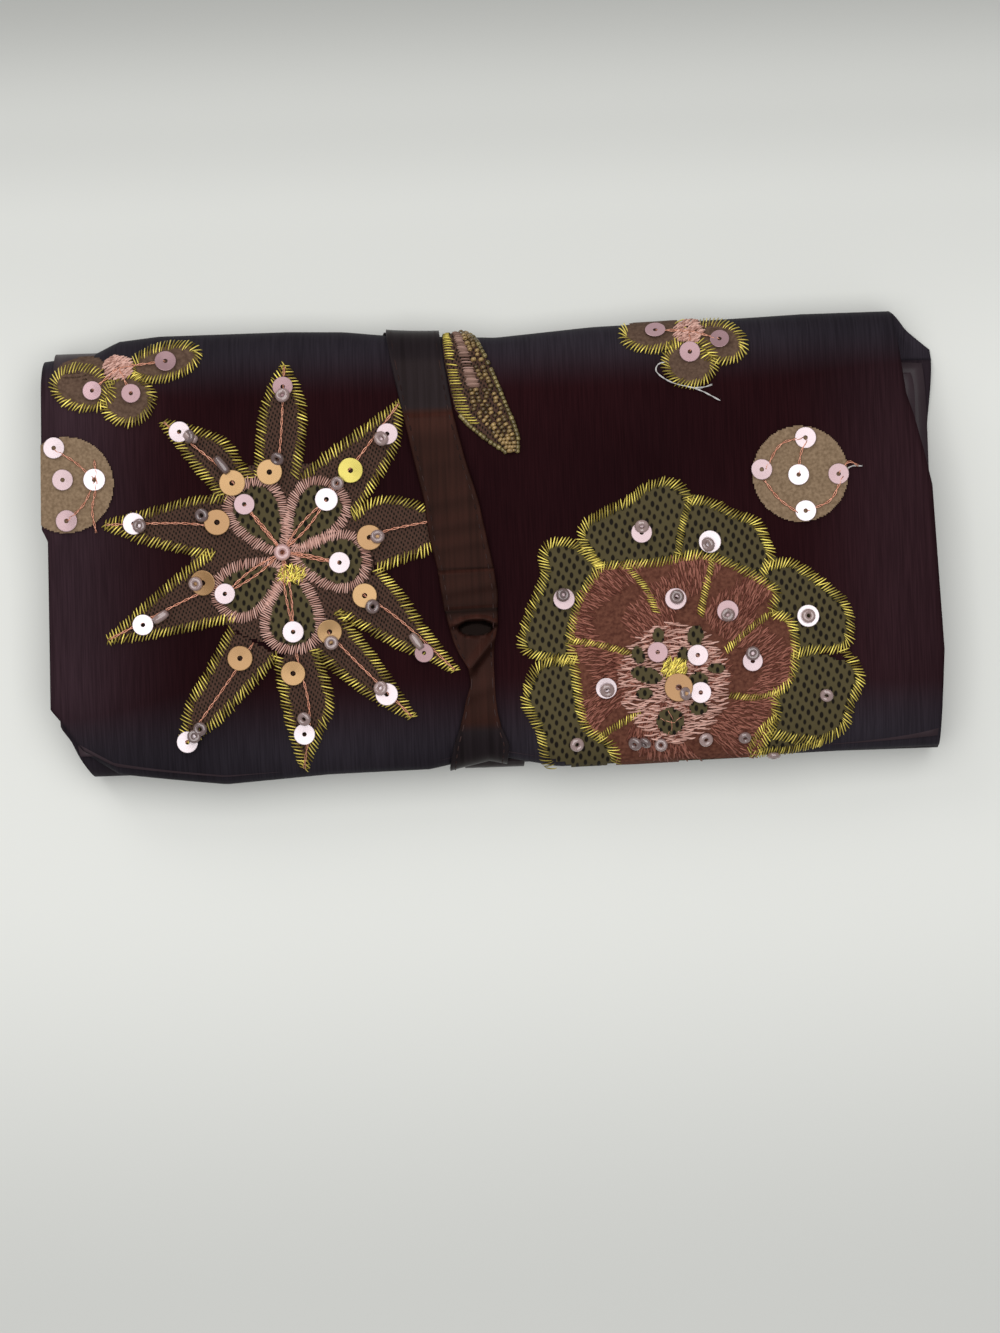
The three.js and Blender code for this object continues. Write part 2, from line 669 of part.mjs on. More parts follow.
function socketGeometry() {
  const outer = snapDiameter / 2;
  const bore = snapHeadDiameter / 2 + clearance;
  return turnedUp([[0, 0], [outer, 0], [outer - snapSocketDraft, snapSocketShoulder],
    [bore + snapWall, snapSocketHeight], [bore, snapSocketHeight], [bore, snapFloor], [0, snapFloor]]);
}

// The stud hangs from z = 0: a thin washer under the tab and a head that sits in the socket
function studGeometry() {
  const head = snapHeadDiameter / 2;
  const neck = snapNeckDiameter / 2;
  const washer = snapWasherDiameter / 2;
  const bottom = -snapWasher - snapHeadHeight;
  return turnedUp([[0, bottom], [neck, bottom], [head, bottom + snapHeadHeight / 2], [neck, -snapWasher],
    [washer, -snapWasher], [washer, 0], [0, 0]]);
}

function capGeometry() {
  const outer = snapDiameter / 2;
  return turnedUp([[0, 0], [outer, 0], [outer, snapCapHeight * 0.4], [outer * 0.75, snapCapHeight * 0.85],
    [outer * 0.4, snapCapHeight], [0, snapCapHeight]]);
}

// Embroidered patches: each outline is cut from one sheet that lies on the crowned cover

function patchSheet() {
  const overFold = arc(coverFoldY, coverFoldRadius, coverFoldRadius, 1, 180 - arcStep, 180 - patchWrap);
  const profile = [...coverFlat, ...overFold];
  const raised = (x, p, height) => [x, p.y + p.ny * height, p.z + p.nz * height + crownRise(x, p.y)];
  const low = (x, p) => raised(x, p, clearance);
  const high = (x, p) => raised(x, p, clearance + patchThickness);
  return solidFrom(between(across, profile, high, low));
}

// A star of uneven rays that meet on the hub's circle, halfway between their tips
function starOutline() {
  const count = starRayAngles.length;
  const polar = (degrees, radius) => {
    const angle = THREE.MathUtils.degToRad(degrees);
    return new THREE.Vector2(starX + radius * Math.cos(angle), starY + radius * Math.sin(angle));
  };
  const points = starRayAngles.flatMap((angle, k) => {
    const next = starRayAngles[(k + 1) % count] - (k + 1 === count ? 360 : 0);
    return [polar(angle, starRayReach[k]), polar((angle + next) / 2, starHubRadius)];
  });
  return new THREE.Shape(points.reverse());
}

// A round flower: petals of one radius, drawn in by notch where they meet
function lobedOutline(x, y, radius, lobes, notch) {
  const pointsPerLobe = 6;
  const count = lobes * pointsPerLobe;
  const outline = new THREE.Shape();
  for (let k = 0; k < count; k++) {
    const angle = (2 * Math.PI * k) / count;
    const swell = Math.abs(Math.cos((lobes * angle) / 2));
    const r = radius * (1 - notch * (1 - swell ** petalRound));
    const point = [x + r * Math.cos(angle), y + r * Math.sin(angle)];
    if (k === 0) outline.moveTo(...point);
    else outline.lineTo(...point);
  }
  return outline;
}

function discOutline(x, y, radius) {
  const outline = new THREE.Shape();
  outline.absarc(x, y, radius, 0, 2 * Math.PI);
  return outline;
}

function buildPatches() {
  const sheet = patchSheet();
  const drape = (name, outline, material) => {
    const column = raisedFrom(outline, 2 * coverTop, 12);
    piece(name, geometryFrom(solidFrom(column).intersect(sheet)), material);
  };
  drape('star_flower_patch', starOutline(), materials.gold);
  const dahlia = lobedOutline(dahliaX, dahliaY, dahliaRadius, dahliaLobes, dahliaNotch);
  drape('dahlia_patch', dahlia, materials.olive);
  drape('round_patch_right', discOutline(roundRightX, roundRightY, roundPatchRadius), materials.taupe);
  drape('round_patch_left', discOutline(roundLeftX, roundLeftY, roundPatchRadius), materials.taupe);
  const posy = (x, y) => lobedOutline(x, y, posyRadius, posyLobes, posyNotch);
  drape('posy_patch_left', posy(posyLeftX, posyLeftY), materials.taupe);
  drape('posy_patch_right', posy(posyRightX, posyRightY), materials.taupe);
}

// Tie

// The leaf is sewn to the ribbon's end by its thin base and lies on the front, domed like a stuffed pad.
function leafGeometry() {
  const fold = arc(coverFoldY, coverFoldRadius, coverFoldRadius, 1, leafStart, 180 - arcStep);
  const front = level(coverFoldY, leafTipY, coverTop, 1, 8);
  const route = routed([...fold, ...front], clearance, ribbonEndX, leafTipX);
  const last = route.length - 1;
  const rows = route.map((p, k) => {
    const t = k / last;
    const half = (leafWidth / 2) * (0.9 + 0.35 * t - 1.25 * t ** 3) + leafPoint;
    const plump = Math.min(1, leafSewn + 3 * t);
    return { ...p, half, swell: leafThickness * plump * (1 - 0.5 * t ** 4) };
  });
  const columns = steps(-1, 1, 4);
  const raised = (p, c, height) => [p.x + c * p.half, p.y + p.ny * height, p.z + p.nz * height];
  const top = (p, c) => raised(p, c, p.swell * (1 - 0.6 * c * c));
  const bottom = (p, c) => raised(p, c, 0);
  return between(rows, columns, top, bottom);
}

function buildTie() {
  piece('tie_ribbon', ribbonGeometry(), materials.satin);
  piece('tie_leaf', leafGeometry(), materials.gold);
}

buildBack();
foldPlies('cover_fold', coverFoldY, coverFoldRadius, 1);
foldPlies('flap_fold', flapFoldY, flapFoldRadius, -1);
buildFlap();
buildRingBar();
buildCover();
buildPatches();
buildTie();

export default roll;
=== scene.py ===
# %% [markdown]
# # An embroidered silk jewelry roll
# You will dress a CAD assembly in cloth, embroidery, sequins and beads, and photograph it from above.
# Each step is a cell: read its note, run it, and look at what it prints.

import math

import bpy
import numpy as np
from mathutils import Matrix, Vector


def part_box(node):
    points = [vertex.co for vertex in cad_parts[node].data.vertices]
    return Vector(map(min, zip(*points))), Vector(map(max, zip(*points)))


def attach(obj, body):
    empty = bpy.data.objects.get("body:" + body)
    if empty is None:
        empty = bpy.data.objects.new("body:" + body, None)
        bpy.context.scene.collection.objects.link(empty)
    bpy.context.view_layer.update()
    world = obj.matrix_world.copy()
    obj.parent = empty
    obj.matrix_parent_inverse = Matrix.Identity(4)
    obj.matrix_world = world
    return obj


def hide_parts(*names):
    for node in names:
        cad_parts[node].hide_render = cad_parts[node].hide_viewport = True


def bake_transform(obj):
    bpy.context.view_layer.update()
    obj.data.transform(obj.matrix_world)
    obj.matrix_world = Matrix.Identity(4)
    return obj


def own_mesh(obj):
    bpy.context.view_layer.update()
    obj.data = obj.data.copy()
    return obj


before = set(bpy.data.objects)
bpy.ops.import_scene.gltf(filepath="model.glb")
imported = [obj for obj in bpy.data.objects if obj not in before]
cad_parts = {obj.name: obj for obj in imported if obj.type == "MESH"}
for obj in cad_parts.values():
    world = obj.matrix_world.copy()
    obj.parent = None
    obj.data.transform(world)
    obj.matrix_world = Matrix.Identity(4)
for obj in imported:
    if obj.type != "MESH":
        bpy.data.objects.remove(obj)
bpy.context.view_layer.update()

# %% [markdown]
# ## Units and places
# Everything below is worked out in millimetres and turned into metres when a mesh is made.
# Places on the front are read off the photo in its pixels, and `spot` turns them into millimetres:
# the scale comes from the sequins, and the roll lies turned by two degrees in the picture.

# %% Units and places
MM = 0.001
PHOTO_MM = 0.247
PHOTO_SIZE = np.array([1000.0, 1333.0])
PHOTO_MIDDLE = np.array([495.0, 548.0])
PHOTO_TURN = math.radians(2)


def node_box(node):
    """A CAD node's lowest and highest corners in millimetres."""
    low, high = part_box(node)
    return np.array(low) / MM, np.array(high) / MM


HALF_WIDTH = node_box("cover_silk")[1][0]
FOLD_OUT = node_box("cover_fold_silk")[1][1]
FOLD_RADIUS = 9.075
FOLD_Y = FOLD_OUT - FOLD_RADIUS
FLAP_RADIUS = 6.95
FLAP_Y = FLAP_RADIUS - FOLD_OUT
COVER_TOP = 2 * FOLD_RADIUS
FLAP_TOP = 2 * FLAP_RADIUS
FLAP_EDGE = node_box("flap_silk")[1][1]
COVER_LINING = node_box("cover_lining")[0][2]
FLAP_LINING = node_box("flap_lining")[0][2]
BACK_LINING = node_box("back_lining")[1][2]
SILK = 0.6
CLOTH = 0.5
CROWN = 3.0
SHOULDER_Y = -30.0
HEM_Y = -53.9
HEM_Z = 12.0
TINY = 1e-9
rng = np.random.default_rng(7)


def spot(points):
    """Photo pixels to millimetres on the roll, seen from above."""
    flat = (np.asarray(points, float) - PHOTO_MIDDLE) * PHOTO_MM * np.array([1, -1])
    c, s = math.cos(PHOTO_TURN), math.sin(PHOTO_TURN)
    return flat @ np.array([[c, -s], [s, c]])


def unit(vectors):
    """Vectors of length 1 in the same directions."""
    return vectors / (np.linalg.norm(vectors, axis=-1, keepdims=True) + TINY)


def smooth(t):
    t = np.clip(t, 0, 1)
    return t * t * (3 - 2 * t)


def part_way(a, b, share):
    return a * (1 - share) + b * share


def rise(distance, zone):
    """0 up to a zone's start, then softly up to 1 over its length."""
    start, length = zone
    return smooth((distance - start) / length)


print("middle of the photo", spot([PHOTO_SIZE / 2]).round(1))

# %% [markdown]
# ## Mesh helpers
# `make` turns points and faces into an object, and `slab` closes the space between two grids,
# which is how every cloth, pad and ribbon here gets its thickness.


# %% Mesh helpers
def make(name, points, faces, material):
    mesh = bpy.data.meshes.new(name)
    mesh.from_pydata((np.asarray(points) * MM).tolist(), [], faces)
    mesh.materials.append(material)
    mesh.polygons.foreach_set("use_smooth", [True] * len(mesh.polygons))
    mesh.update()
    obj = bpy.data.objects.new(name, mesh)
    bpy.context.scene.collection.objects.link(obj)
    return obj


def grid_faces(rows, columns, start=0, flip=False):
    i, j = np.meshgrid(np.arange(rows - 1), np.arange(columns - 1), indexing="ij")
    a = (start + i * columns + j).ravel()
    quads = np.stack([a, a + columns, a + columns + 1, a + 1], 1)
    return (quads[:, ::-1] if flip else quads).tolist()


def slab(name, top, bottom, material):
    """A closed solid between two grids. Top faces up where rows run to +X and columns to +Y."""
    rows, columns = top.shape[:2]
    count = rows * columns
    index = np.arange(count).reshape(rows, columns)
    rim = np.concatenate([index[:, 0], index[-1, 1:], index[-2::-1, -1], index[0, -2:0:-1]])
    after = np.roll(rim, -1)
    sides = np.stack([rim, rim + count, after + count, after], 1).tolist()
    faces = grid_faces(rows, columns) + grid_faces(rows, columns, count, True) + sides
    points = np.concatenate([top.reshape(-1, 3), bottom.reshape(-1, 3)])
    return make(name, points, faces, material)


def ring_faces(rings, sides, start=0, flip=False, closed=False):
    """Quads round a stack of rings of points, from each ring to the next."""
    k, n = np.meshgrid(np.arange(rings if closed else rings - 1), np.arange(sides), indexing="ij")
    a, b = (start + k * sides + n).ravel(), (start + k * sides + (n + 1) % sides).ravel()
    step = (((k + 1) % rings - k) * sides).ravel()
    corners = [a, a + step, b + step, b] if flip else [a, b, b + step, a + step]
    return np.stack(corners, 1).tolist()


def full_turn(count):
    return np.linspace(0, 2 * math.pi, count, endpoint=False)


def tubes(name, paths, radius, material):
    """Thin round threads along several lines of points, as one object."""
    points, faces, start = [], [], 0
    sides = 5
    turn = full_turn(sides)
    for path in paths:
        along = unit(np.gradient(path, axis=0))
        side = unit(np.cross(along, [0.0, 0.0, 1.0]) + TINY)
        up = np.cross(side, along)
        ring = np.cos(turn)[None, :, None] * side[:, None] + np.sin(turn)[None, :, None] * up[:, None]
        points.append((path[:, None] + radius * ring).reshape(-1, 3))
        faces += ring_faces(len(path), sides, start, flip=True)
        last = start + (len(path) - 1) * sides
        faces += [list(range(start, start + sides)), list(range(last + sides - 1, last - 1, -1))]
        start += len(path) * sides
    return make(name, np.concatenate(points), faces, material)


def run_length(points):
    return np.linalg.norm(np.diff(points, axis=0), axis=1).sum()


def curve(points, spacing):
    """A smooth line through a few points, in even steps."""
    points = np.asarray(points, float)
    ends = np.concatenate([2 * points[:1] - points[1:2], points, 2 * points[-1:] - points[-2:-1]])
    t = np.linspace(0, 1, 12, endpoint=False)[:, None]
    pieces = []
    for a, b, c, d in zip(ends, ends[1:], ends[2:], ends[3:]):
        square, cube = 2 * a - 5 * b + 4 * c - d, 3 * b - a - 3 * c + d
        pieces.append(0.5 * (2 * b + (c - a) * t + square * t**2 + cube * t**3))
    line = np.concatenate(pieces + [points[-1:]])
    length = np.concatenate([[0], np.cumsum(np.linalg.norm(np.diff(line, axis=0), axis=1))])
    even = np.linspace(0, length[-1], max(3, int(length[-1] / spacing) + 1))
    return np.stack([np.interp(even, length, line[:, k]) for k in range(line.shape[1])], 1)


def tag(obj, name, values):
    """Stores one number for each point of a mesh, for its material to read."""
    store = obj.data.attributes.new(name, "FLOAT", "POINT")
    store.data.foreach_set("value", np.asarray(values, float).ravel())


print("10 mm in steps of 1 mm is", len(curve([(0, 0), (10, 0)], 1.0)), "points")

# %% [markdown]
# ## Materials
# One function makes a Principled material, and each effect that several of them share is a shader group.
# Shot silk looks plum where it lies flat and blue-grey where it turns away. That sheen is painted here:
# the silk's meshes carry a number called `turned` that mixes the two colours, and on the tie it paints
# shade.

# %% Materials
BLACK = (0, 0, 0, 1)
WHITE = (1, 1, 1, 1)


def plain(name, color, roughness, metallic=0.0, gloss=0.1, **constants):
    material = bpy.data.materials.new(name)
    material.use_nodes = True
    shader = material.node_tree.nodes["Principled BSDF"]
    values = {"Base_Color": (*color, 1), "Roughness": roughness, "Metallic": metallic}
    values |= {"Specular_IOR_Level": gloss, **constants}
    for socket, value in values.items():
        shader.inputs[socket.replace("_", " ")].default_value = value
    return material


def new_group(name, inputs, output, kind):
    """A shader group with named numbers and colours going in and one result coming out."""
    group = bpy.data.node_groups.new(name, "ShaderNodeTree")
    for label, value in inputs.items():
        socket_type = "NodeSocketFloat" if np.isscalar(value) else "NodeSocketColor"
        socket = group.interface.new_socket(label, in_out="INPUT", socket_type=socket_type)
        socket.default_value = value
    group.interface.new_socket(output, in_out="OUTPUT", socket_type="NodeSocket" + kind)
    return group, group.nodes.new("NodeGroupInput"), group.nodes.new("NodeGroupOutput")


def mapped(tree, value, bounds):
    """A node that turns a value between two bounds into a number from 0 to 1, or between other ends."""
    reach = tree.nodes.new("ShaderNodeMapRange")
    reach.inputs["From Min"].default_value, reach.inputs["From Max"].default_value = bounds
    tree.links.new(value, reach.inputs["Value"])
    return reach


def mixed(tree, share, low, high):
    """The colour between two colour outputs, by a number from 0 to 1."""
    mix = tree.nodes.new("ShaderNodeMix")
    mix.data_type = "RGBA"
    sockets = {socket.identifier: socket for socket in (*mix.inputs, *mix.outputs)}
    tree.links.new(share, sockets["Factor_Float"])
    tree.links.new(low, sockets["A_Color"])
    tree.links.new(high, sockets["B_Color"])
    return sockets["Result_Color"]


print("groups can be built")

# %% [markdown]
# ## Weave and net
# Silk and satin show fine ribs close up, and the patches are cut from net. Modelled threads would cost
# millions of faces, so noise makes the ribs as a bump, and a cell pattern draws the holes of the net.

# %% Weave and net
NET_REACH = (0.26, 0.38)
NET_TURN = math.radians(32)
NET_STRETCH = (1, 0.6, 0)
NET_RANDOM = 0.2
RIB_SQUEEZE = 0.06
RIB_DETAIL = 3
RIB_DEPTH = 0.0003


def noise_in(group, scale, stretch=None, detail=2):
    """Noise over the object, drawn out along some axes where a stretch is given."""
    nodes, links = group.nodes, group.links
    place = nodes.new("ShaderNodeTexCoord")
    shape = nodes.new("ShaderNodeMapping")
    noise = nodes.new("ShaderNodeTexNoise")
    noise.inputs["Detail"].default_value = detail
    links.new(place.outputs["Object"], shape.inputs["Vector"])
    links.new(shape.outputs["Vector"], noise.inputs["Vector"])
    links.new(scale, noise.inputs["Scale"])
    if stretch is not None:
        links.new(stretch, shape.inputs["Scale"])
    return noise.outputs["Fac"]


def stretched(group, squeeze):
    """A stretch that leaves X alone and squeezes Y and Z alike."""
    shape = group.nodes.new("ShaderNodeCombineXYZ")
    shape.inputs["X"].default_value = 1
    for axis in ("Y", "Z"):
        group.links.new(squeeze, shape.inputs[axis])
    return shape.outputs["Vector"]


def weave_group():
    """Bump of a woven cloth: fine ribs with slubs. Pitch counts ribs in a metre."""
    inputs = {"Pitch": 900.0, "Squeeze": RIB_SQUEEZE, "Strength": 0.25}
    group, entry, leave = new_group("Woven ribs", inputs, "Normal", "Vector")
    bump = group.nodes.new("ShaderNodeBump")
    bump.inputs["Distance"].default_value = RIB_DEPTH
    stretch = stretched(group, entry.outputs["Squeeze"])
    ribs = noise_in(group, entry.outputs["Pitch"], stretch, RIB_DETAIL)
    group.links.new(ribs, bump.inputs["Height"])
    group.links.new(entry.outputs["Strength"], bump.inputs["Strength"])
    group.links.new(bump.outputs["Normal"], leave.inputs["Normal"])
    return group


def net_group():
    """Slanting rows of dark holes in a coloured ground. Density counts holes in a metre."""
    inputs = {"Density": 1000.0, "Thread": WHITE, "Hole": BLACK}
    group, entry, leave = new_group("Net", inputs, "Color", "Color")
    nodes, links = group.nodes, group.links
    place = nodes.new("ShaderNodeTexCoord")
    turn = nodes.new("ShaderNodeMapping")
    turn.inputs["Rotation"].default_value = (0, 0, NET_TURN)
    turn.inputs["Scale"].default_value = NET_STRETCH
    cells = nodes.new("ShaderNodeTexVoronoi")
    cells.inputs["Randomness"].default_value = NET_RANDOM
    links.new(place.outputs["Object"], turn.inputs["Vector"])
    links.new(turn.outputs["Vector"], cells.inputs["Vector"])
    links.new(entry.outputs["Density"], cells.inputs["Scale"])
    share = mapped(group, cells.outputs["Distance"], NET_REACH).outputs["Result"]
    color = mixed(group, share, entry.outputs["Hole"], entry.outputs["Thread"])
    links.new(color, leave.inputs["Color"])
    return group


WEAVE = weave_group()
NET = net_group()
print("groups", WEAVE.name, NET.name)

# %% [markdown]
# ## Flecks, drifts and painted light
# Felt has flecks, silk has slow drifts of shade, and stretched satin gleams. Noise gives the first two.
# The gleam is painted light and shade: a number on each point of the mesh, worked out from the folds on the
# tie, lifts the colour as a painted highlight and lowers it as painted shade in creases.

# %% Flecks, drifts and painted light
NOISE_REACH = (0.32, 0.68)
FLECK_DETAIL = 4


def fleck_group():
    """Soft flecks of two shades, for felt, brushed cloth and metal."""
    inputs = {"Scale": 1000.0, "Low": BLACK, "High": WHITE}
    group, entry, leave = new_group("Soft flecks", inputs, "Color", "Color")
    noise = noise_in(group, entry.outputs["Scale"], detail=FLECK_DETAIL)
    share = mapped(group, noise, NOISE_REACH).outputs["Result"]
    color = mixed(group, share, entry.outputs["Low"], entry.outputs["High"])
    group.links.new(color, leave.inputs["Color"])
    return group


def drift_group():
    """A level that wanders between dark and light, drawn out along Y and Z where Squeeze is under 1."""
    inputs = {"Scale": 17.0, "Squeeze": 1.0, "Dark": 0.8, "Light": 1.2}
    group, entry, leave = new_group("Drift of shade", inputs, "Level", "Float")
    noise = noise_in(group, entry.outputs["Scale"], stretched(group, entry.outputs["Squeeze"]))
    level = mapped(group, noise, NOISE_REACH)
    group.links.new(entry.outputs["Dark"], level.inputs["To Min"])
    group.links.new(entry.outputs["Light"], level.inputs["To Max"])
    group.links.new(level.outputs["Result"], leave.inputs["Level"])
    return group


def painted_light_group():
    """Reads `painted_light` off the mesh: above 0 for a painted highlight, below 0 for painted shade in
    creases.
    """
    group, entry, leave = new_group("Painted light and shade", {"Plain level": 1.0}, "Level", "Float")
    read = group.nodes.new("ShaderNodeAttribute")
    read.attribute_name = "painted_light"
    lift = group.nodes.new("ShaderNodeMath")
    group.links.new(read.outputs["Fac"], lift.inputs[0])
    group.links.new(entry.outputs["Plain level"], lift.inputs[1])
    group.links.new(lift.outputs[0], leave.inputs["Level"])
    return group


def two_tone_group(name, attribute):
    """Mixes two colours by a number that the mesh carries."""
    group, entry, leave = new_group(name, {"Low": BLACK, "High": WHITE}, "Color", "Color")
    read = group.nodes.new("ShaderNodeAttribute")
    read.attribute_name = attribute
    color = mixed(group, read.outputs["Fac"], entry.outputs["Low"], entry.outputs["High"])
    group.links.new(color, leave.inputs["Color"])
    return group


FLECKS = fleck_group()
DRIFT = drift_group()
PAINTED_LIGHT = painted_light_group()
SHEEN_SHADE = two_tone_group("Painted sheen and shade", "turned")
OWN_SHADE = two_tone_group("Own shade", "shade")
print(len(bpy.data.node_groups), "shader groups")

# %% [markdown]
# ## Finishes that share the groups
# A group goes into a material with the material's own values. Each function below is one kind of finish,
# so that a cloth or a bead needs one line.

# %% Finishes that share the groups
STREAK_SQUEEZE = 0.03


def placed(material, group, **values):
    node = material.node_tree.nodes.new("ShaderNodeGroup")
    node.node_tree = group
    for label, value in values.items():
        node.inputs[label].default_value = value if np.isscalar(value) else (*value, 1)
    return node.outputs[0]


def fed(material, output, socket="Base Color"):
    shader = material.node_tree.nodes["Principled BSDF"]
    material.node_tree.links.new(output, shader.inputs[socket])
    return material


def scaled_by(material, level):
    """Multiplies a material's colour by one output of another node."""
    nodes, links = material.node_tree.nodes, material.node_tree.links
    base = nodes["Principled BSDF"].inputs["Base Color"]
    tint = nodes.new("ShaderNodeVectorMath")
    tint.operation = "SCALE"
    links.new(base.links[0].from_socket, tint.inputs[0])
    links.new(level, tint.inputs["Scale"])
    return fed(material, tint.outputs["Vector"])


def woven(material, pitch, strength):
    return fed(material, placed(material, WEAVE, Pitch=pitch, Strength=strength), "Normal")


def netted(name, thread, hole, pitch):
    material = plain(name, hole, 0.8)
    return fed(material, placed(material, NET, Density=1 / pitch, Thread=thread, Hole=hole))


# The mix of the flat and the turned colour by the mesh's `turned` number is painted sheen and shade.
def shot(name, flat, turned, roughness, gloss, tint):
    material = plain(name, flat, roughness, gloss=gloss, Specular_Tint=tint)
    return fed(material, placed(material, SHEEN_SHADE, Low=flat, High=turned))


def streaked(material, pitch, drift, dark, light):
    """Fine streaks along the weave and slow drifts of shade."""
    for scale, squeeze in ((pitch, STREAK_SQUEEZE), (drift, 1.0)):
        scaled_by(material, placed(material, DRIFT, Scale=scale, Squeeze=squeeze, Dark=dark, Light=light))
    return material


def with_painted_light(material):
    return scaled_by(material, placed(material, PAINTED_LIGHT))


def shaded(name, low, high, roughness, metallic=0.0, gloss=0.1, **constants):
    """A finish of threads, sequins or beads, in which each copy has its own shade."""
    material = plain(name, high, roughness, metallic, gloss, **constants)
    return fed(material, placed(material, OWN_SHADE, Low=low, High=high))


def brushed(name, low, high, scale, roughness, metallic=0.0, gloss=0.1):
    material = plain(name, high, roughness, metallic, gloss)
    return fed(material, placed(material, FLECKS, Scale=scale, Low=low, High=high))


print("kinds of finish", [kind.__name__ for kind in (woven, netted, shot, shaded, brushed)])

# %% [markdown]
# ## Cloths, threads, sequins and beads
# The roll is plum shot silk with a brown satin tie. Gold, pink and copper threads hold patches of net and
# felt, with sequins and glass beads on them. Each finish has a dark and a light shade, matched one by one.

# %% Cloths, threads, sequins and beads
# The silk's turned colour is a painted blue-grey sheen; the satin's turned colour is painted shade.
silk = shot("Shot silk", (0.0132, 0.0032, 0.0038), (0.021, 0.0182, 0.0232), 0.5, 0.02, (0.8, 0.55, 0.75, 1))
woven(with_painted_light(streaked(silk, 3000, 17, 0.8, 1.22)), 900, 0.35)
satin = shot("Tie satin", (0.026, 0.0088, 0.0062), (0.016, 0.012, 0.0135), 0.34, 0.06, (1, 0.7, 0.6, 1))
woven(with_painted_light(streaked(satin, 1100, 17, 0.75, 1.25)), 1600, 0.2)
lining_satin = brushed("Lining satin", (0.034, 0.021, 0.025), (0.047, 0.031, 0.036), 60, 0.4, gloss=0.2)
woven(lining_satin, 1600, 0.2)
tape_cloth = woven(brushed("Zip tape", (0.022, 0.01, 0.01), (0.036, 0.018, 0.018), 900, 0.8), 2600, 0.4)
coil_nylon = shaded("Zip coil", (0.035, 0.02, 0.018), (0.06, 0.035, 0.03), 0.35, gloss=0.4)
brass = brushed("Brass", (0.5, 0.34, 0.1), (0.66, 0.48, 0.18), 500, 0.28, 1.0, 0.5)
gold = shaded("Gold thread", (0.16, 0.11, 0.012), (1.0, 0.82, 0.17), 0.34, 0.35, 0.3)
scaled_by(gold, placed(gold, DRIFT, Scale=170, Squeeze=1.0, Dark=0.6, Light=1.35))
pink = shaded("Pink thread", (0.38, 0.195, 0.15), (0.75, 0.465, 0.385), 0.45)
dusty = shaded("Dusty pink thread", (0.13, 0.07, 0.05), (0.4, 0.25, 0.2), 0.5)
rose = shaded("Rose thread", (0.12, 0.036, 0.024), (0.34, 0.135, 0.095), 0.45)
copper = brushed("Copper thread", (0.45, 0.17, 0.1), (0.75, 0.38, 0.26), 1500, 0.32, 0.7, 0.4)
seam_thread = shaded("Seam thread", (0.02, 0.009, 0.008), (0.05, 0.027, 0.024), 0.6)
white_thread = brushed("White thread", (0.45, 0.43, 0.4), (0.7, 0.68, 0.66), 2000, 0.7)
NET_HOLE = (0.009, 0.0065, 0.0045)
olive_net = netted("Olive net", (0.078, 0.062, 0.028), NET_HOLE, 0.0015)
dark_net = netted("Dark net", (0.068, 0.035, 0.024), NET_HOLE, 0.0007)
burgundy = brushed("Burgundy cloth", (0.07, 0.021, 0.013), (0.15, 0.056, 0.034), 1100, 0.75)
felt = brushed("Felt", (0.17, 0.112, 0.066), (0.28, 0.193, 0.12), 1300, 0.95)
taupe = brushed("Taupe cloth", (0.074, 0.043, 0.029), (0.13, 0.08, 0.054), 1300, 0.85)
silver = shaded("Pale sequin", (0.42, 0.26, 0.27), (0.86, 0.77, 0.79), 0.3, 0.3, 0.5)
darker_sequin = shaded("Darker sequin", (0.26, 0.145, 0.15), (0.52, 0.33, 0.35), 0.3, 0.3, 0.5)
peach = shaded("Copper sequin", (0.28, 0.14, 0.055), (0.46, 0.275, 0.115), 0.3, 0.4, 0.5)
lemon = shaded("Yellow sequin", (0.52, 0.43, 0.075), (0.66, 0.56, 0.13), 0.28, 0.4, 0.5)
CLEAR = {"Coat_Weight": 0.8, "Coat_Roughness": 0.04}
glass = shaded("Glass bead", (0.1, 0.062, 0.058), (0.36, 0.25, 0.23), 0.08, gloss=0.8, **CLEAR)
blush = shaded("Pink bead", (0.5, 0.28, 0.26), (0.65, 0.42, 0.4), 0.1, gloss=0.6, **CLEAR)
topaz = shaded("Topaz bead", (0.06, 0.036, 0.012), (0.36, 0.235, 0.09), 0.16, 0.1, 0.5)
amber = shaded("Amber bead", (0.07, 0.05, 0.016), (0.27, 0.21, 0.075), 0.14, 0.2, 0.6)
print(len(bpy.data.materials), "materials")

# %% [markdown]
# ## The cover's surface
# The whole front is one grid of points. Columns start at the middle of the fold, come over the top edge,
# cross the crowned front and turn down at the hem. Soft dents and the pull of the tie make it look handled.

# %% The cover's surface
TOP_EDGE = [(-110, -2.6), (-98, -1.2), (-92, 1.8), (-82, 2.8), (-50, 2.8), (-36, 2.3), (-25, 1.0)]
TOP_EDGE += [(2, -0.4), (26, 1.4), (63, 2.3), (80, 2.8), (110, 2.8)]
LOW_EDGE = [(-110, -5.5), (-100, -1.0), (-69, 2.4), (-43, 0.8), (-18, 0.4)]
LOW_EDGE += [(-3, -2.6), (14, 0.8), (110, -1.2)]
LEFT_EDGE = [(-54, 7.5), (-48.8, 4.4), (-43.7, 1.9), (-38.7, -1.4), (5.5, -0.6), (8.5, -2.0), (54, -0.8)]
RIGHT_EDGE = [(-54, 1.2), (-29, -0.4), (12, 1.2), (20, 2.9), (29, 5.2), (34, 6.9), (43, 8.1), (54, 9.6)]
PULL_FROM_X = 60
PULL_FROM_Y = 8


def graph(edge, at):
    places, pulls = np.array(edge, float).T
    return np.interp(at, places, pulls)


def pull(distance, start, end):
    """How much of an edge's pull is felt: 0 where it starts and 1 at the edge."""
    return np.clip((distance - start) / (end - start), 0, 1) ** 2


